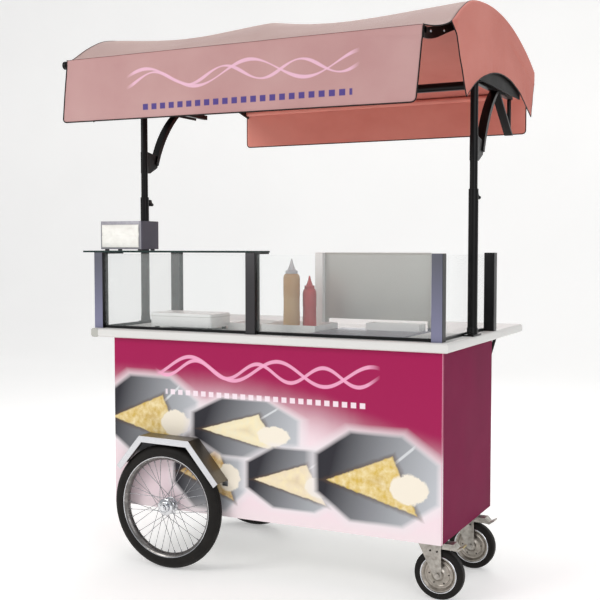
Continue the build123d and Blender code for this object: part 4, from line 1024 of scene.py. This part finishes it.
def roof_point(u, v):
    y = depths(v)
    reach = half_width(y)
    x = middle_x + reach * (2 * u - 1)
    ripple = 1.2 * noise.noise(Vector((x / 160, y / 260, 0.4)))
    return x, y, crown(y) - sag(x, y) - 0.6 + min(0.0, ripple)


roof = cloth_grid("cover_roof", 96, 120, roof_point, roof_cloth)
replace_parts(roof, "canopy_roof")
roof_curve = [(depths(index / 200), crown(depths(index / 200))) for index in range(201)]
roof_length = sum(math.dist(here, after) for here, after in zip(roof_curve, roof_curve[1:])) / 1000


def flap_foot(y, side):
    """Height of the flap's lower edge at a depth: raked front edge, arch, tip and raked back edge."""
    front_top, back_top = 2187, 2175
    front, top = (-262, 1936), (172, 2087)
    end, tip = ((545, 2048), (725, 1972)) if side > 0 else ((640, 2088), (756, 2096))
    if y <= front[0]:
        return front_top + (front[1] - front_top) * (y - hood_front) / (front[0] - hood_front)
    if y <= end[0]:
        # circle through the arch's two ends and its top
        (ya, za), (yb, zb), (yc, zc) = front, top, end
        d = 2 * (ya * (zb - zc) + yb * (zc - za) + yc * (za - zb))
        ra, rb, rc = ya ** 2 + za ** 2, yb ** 2 + zb ** 2, yc ** 2 + zc ** 2
        uy = (ra * (zb - zc) + rb * (zc - za) + rc * (za - zb)) / d
        uz = (ra * (yc - yb) + rb * (ya - yc) + rc * (yb - ya)) / d
        radius = math.dist((ya, za), (uy, uz))
        return uz + math.sqrt(max(radius ** 2 - (y - uy) ** 2, 0))
    if y <= tip[0]:
        return end[1] + (tip[1] - end[1]) * (y - end[0]) / (tip[0] - end[0])
    return tip[1] + (back_top - tip[1]) * (y - tip[0]) / (hood_back - tip[0])


def flap_point(side):
    """The hooded end: rounds over the hoop and hangs, with folds above the arch and a soft crease."""
    def point(u, v):
        y = hood_front + (hood_back - hood_front) * u
        top = crown(y) - 0.6
        foot = min(flap_foot(y, side), top - 2)
        drop = (top - foot) * v ** 1.35
        round_over = shoulder * min(1.0, (top - foot) / 60)
        if drop < round_over:
            angle = math.acos(1 - drop / round_over)
            out = (hood_half - shoulder) + round_over * math.sin(angle)
        else:
            out = hood_half - shoulder + round_over
        z = top - drop
        hang = ease((drop - 30) / 120)
        folds = math.sin(y / 17 + 2.2 * noise.noise(Vector((y / 60, 0.0, side))))
        folds *= noise.noise(Vector((y / 90, z / 220, 3.0 + side)))
        crease = math.exp(-((z - (2215 - 0.27 * (y - 430))) / 11) ** 2) * ease((y - 250) / 160)
        slack = 4.5 * noise.noise(Vector((y / 240, z / 190, 7.0 + side)))
        out -= hang * (4.2 * abs(folds) + 1.5 + abs(slack)) + 7.0 * crease * hang
        return middle_x + side * out, y, z
    return point


def valance_point(sign, y_face, half, foot, top, lean=0, dip=0):
    """A hanging valance with rounded lower corners and shallow folds; it may hang a little askew."""
    def point(u, v):
        low = foot - dip * u
        z = top + (low - top) * v
        reach = half
        above = z - low
        if above < 18:
            reach -= 18 - math.sqrt(max(18 ** 2 - (18 - above) ** 2, 0))
        x = middle_x + reach * (2 * u - 1) - lean * v
        fold = 1.6 + 1.8 * noise.noise(Vector((x / 260, z / 150, 1.0 + sign)))
        fold += 0.7 * noise.noise(Vector((x / 60, z / 300, 5.0)))
        tuck = 2.2 * math.exp(-((z - top + 26 + 0.10 * (x - 600)) / 7) ** 2) * ease((x - 480) / 120)
        y = y_face - sign * (max(0.3, fold) * ease(v * 6) + tuck)
        return x, y, z
    return point


front_point = valance_point(-1, -532.4, front_half, 1900.5, 2160.1, 27, 12)
rear_point = valance_point(1, 987.4, rear_half, 1925.5, 2124.9)
front = cloth_grid("cover_front_valance", 44, 200, front_point, valance_cloth_lit, True)
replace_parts(front, "front_valance")
rear = cloth_grid("cover_rear_valance", 36, 180, rear_point, hood_cloth_shaded, False, lining_lit)
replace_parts(rear, "rear_valance")
sleeve_path = [at(x, 968, 2108) for x in range(-826, 732, 60)] + [at(731, 968, 2108)]
sleeve = tube("cover_rear_sleeve", sleeve_path, 0.0138, lining_lit, "canopy", "canopy_cloth", 24)
flaps = {}
for side, name in ((1, "right"), (-1, "left")):
    flaps[name] = cloth_grid("cover_flap_" + name, 60, 150, flap_point(side), hood_cloth_shaded, side < 0)
    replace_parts(flaps[name], "end_flap_" + name)


def edge_path(point, start, end, count, lift=0.0):
    """Points in the frame along a straight run in a sheet's own (u, v)."""
    path = []
    for index in range(count + 1):
        t = index / count
        spot = at(*point(start[0] + (end[0] - start[0]) * t, start[1] + (end[1] - start[1]) * t))
        path.append(spot + Vector((0, 0, lift)))
    return path


def hem(point, count=120):
    """Down the left edge, along the foot and up the right edge of a hanging sheet."""
    return (
        edge_path(point, (0, 0.02), (0, 0.925), 20) + edge_path(point, (0, 0.93), (0, 1), 12)[1:]
        + edge_path(point, (0, 1), (1, 1), count)[1:] + edge_path(point, (1, 1), (1, 0.93), 12)[1:]
        + edge_path(point, (1, 0.925), (1, 0.02), 20)
    )


tube("piping_front_valance", hem(front_point), 0.0026, piping, "canopy", "canopy_cloth")
tube("piping_rear_valance", hem(rear_point), 0.0026, piping, "canopy", "canopy_cloth")
for side, name in ((1, "right"), (-1, "left")):
    u = 1 if side > 0 else 0
    roof_edge = edge_path(roof_point, (u, 0), (u, 1), 120, -0.0006)
    tube("piping_roof_" + name, roof_edge, 0.0024, piping, "canopy", "canopy_cloth")
    flap_edge = edge_path(flap_point(side), (0, 1), (1, 1), 240)
    tube("piping_flap_" + name, flap_edge, 0.0024, piping, "canopy", "canopy_cloth")

for name in flaps:
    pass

# ---- Floor, light and camera ----
# A plain pale floor and soft studio lights; the camera stands off the cart's right front corner.
floor_finish = Finish("studio_floor")
floor_finish.mottled("#f4f3f1", "#efeeec", 0.6)
floor_finish.put("Roughness", 0.8 + (floor_finish.noise(2.0) - 0.5) * 0.05)
floor_finish.put("Emission Color", (1.0, 1.0, 1.0, 1.0))
floor_finish.put("Emission Strength", 0.30)
sweep = [(-9, 0)]
for step in range(13):
    angle = math.pi / 2 * step / 12
    sweep.append((5.0 + 3.0 * math.sin(angle), 3.0 - 3.0 * math.cos(angle)))
sweep.append((8, 9))
floor_verts = [Vector((x, y, z)) for x in (-14, 14) for y, z in sweep]
floor_faces = [(i, i + len(sweep), i + len(sweep) + 1, i + 1) for i in range(len(sweep) - 1)]
floor = piece("studio_floor", floor_verts, floor_faces, floor_finish, None, sharp=180)
floor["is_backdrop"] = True


def lamp(name, spot, aim, size, power, tint=(1, 1, 1)):
    """A soft rectangular light that faces a point."""
    data = bpy.data.lights.new(name, "AREA")
    data.shape = "RECTANGLE"
    data.size, data.size_y = size
    data.energy = power
    data.color = tint
    made = bpy.data.objects.new(name, data)
    made.location = spot
    made.rotation_euler = (Vector(aim) - Vector(spot)).to_track_quat("-Z", "Y").to_euler()
    bpy.context.collection.objects.link(made)
    return made


lamp("key", (-2.6, -4.6, 3.6), (0, -0.2, 1.1), (2.4, 2.4), 105, (1.0, 0.99, 0.97))
lamp("fill", (3.6, -3.4, 2.4), (0, 0, 1.0), (2.6, 2.6), 42, (0.97, 0.98, 1.0))
lamp("top", (0.2, 0.4, 5.2), (0, 0, 1.0), (4.0, 3.2), 80)
lamp("back", (-1.0, 4.2, 3.2), (0, 0, 1.2), (3.0, 2.0), 45)
world = bpy.data.worlds.new("studio")
world.use_nodes = True
world.node_tree.nodes["Background"].inputs[0].default_value = (0.97, 0.98, 1.0, 1)
world.node_tree.nodes["Background"].inputs[1].default_value = 0.50
bpy.context.scene.world = world
bpy.context.scene.view_settings.view_transform = "Standard"
camera_data = bpy.data.cameras.new("camera")
camera_data.lens = 60.77
camera_data.sensor_width = 36
camera = bpy.data.objects.new("camera", camera_data)
camera.location = (2.020, -4.1895, 1.375)
camera.rotation_euler = (math.radians(90 - 3.0156), 0, math.radians(26.5453))
bpy.context.collection.objects.link(camera)
bpy.context.scene.camera = camera

seen_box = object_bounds()
[[list(corner) for corner in box] for box in (cad_box, seen_box)]
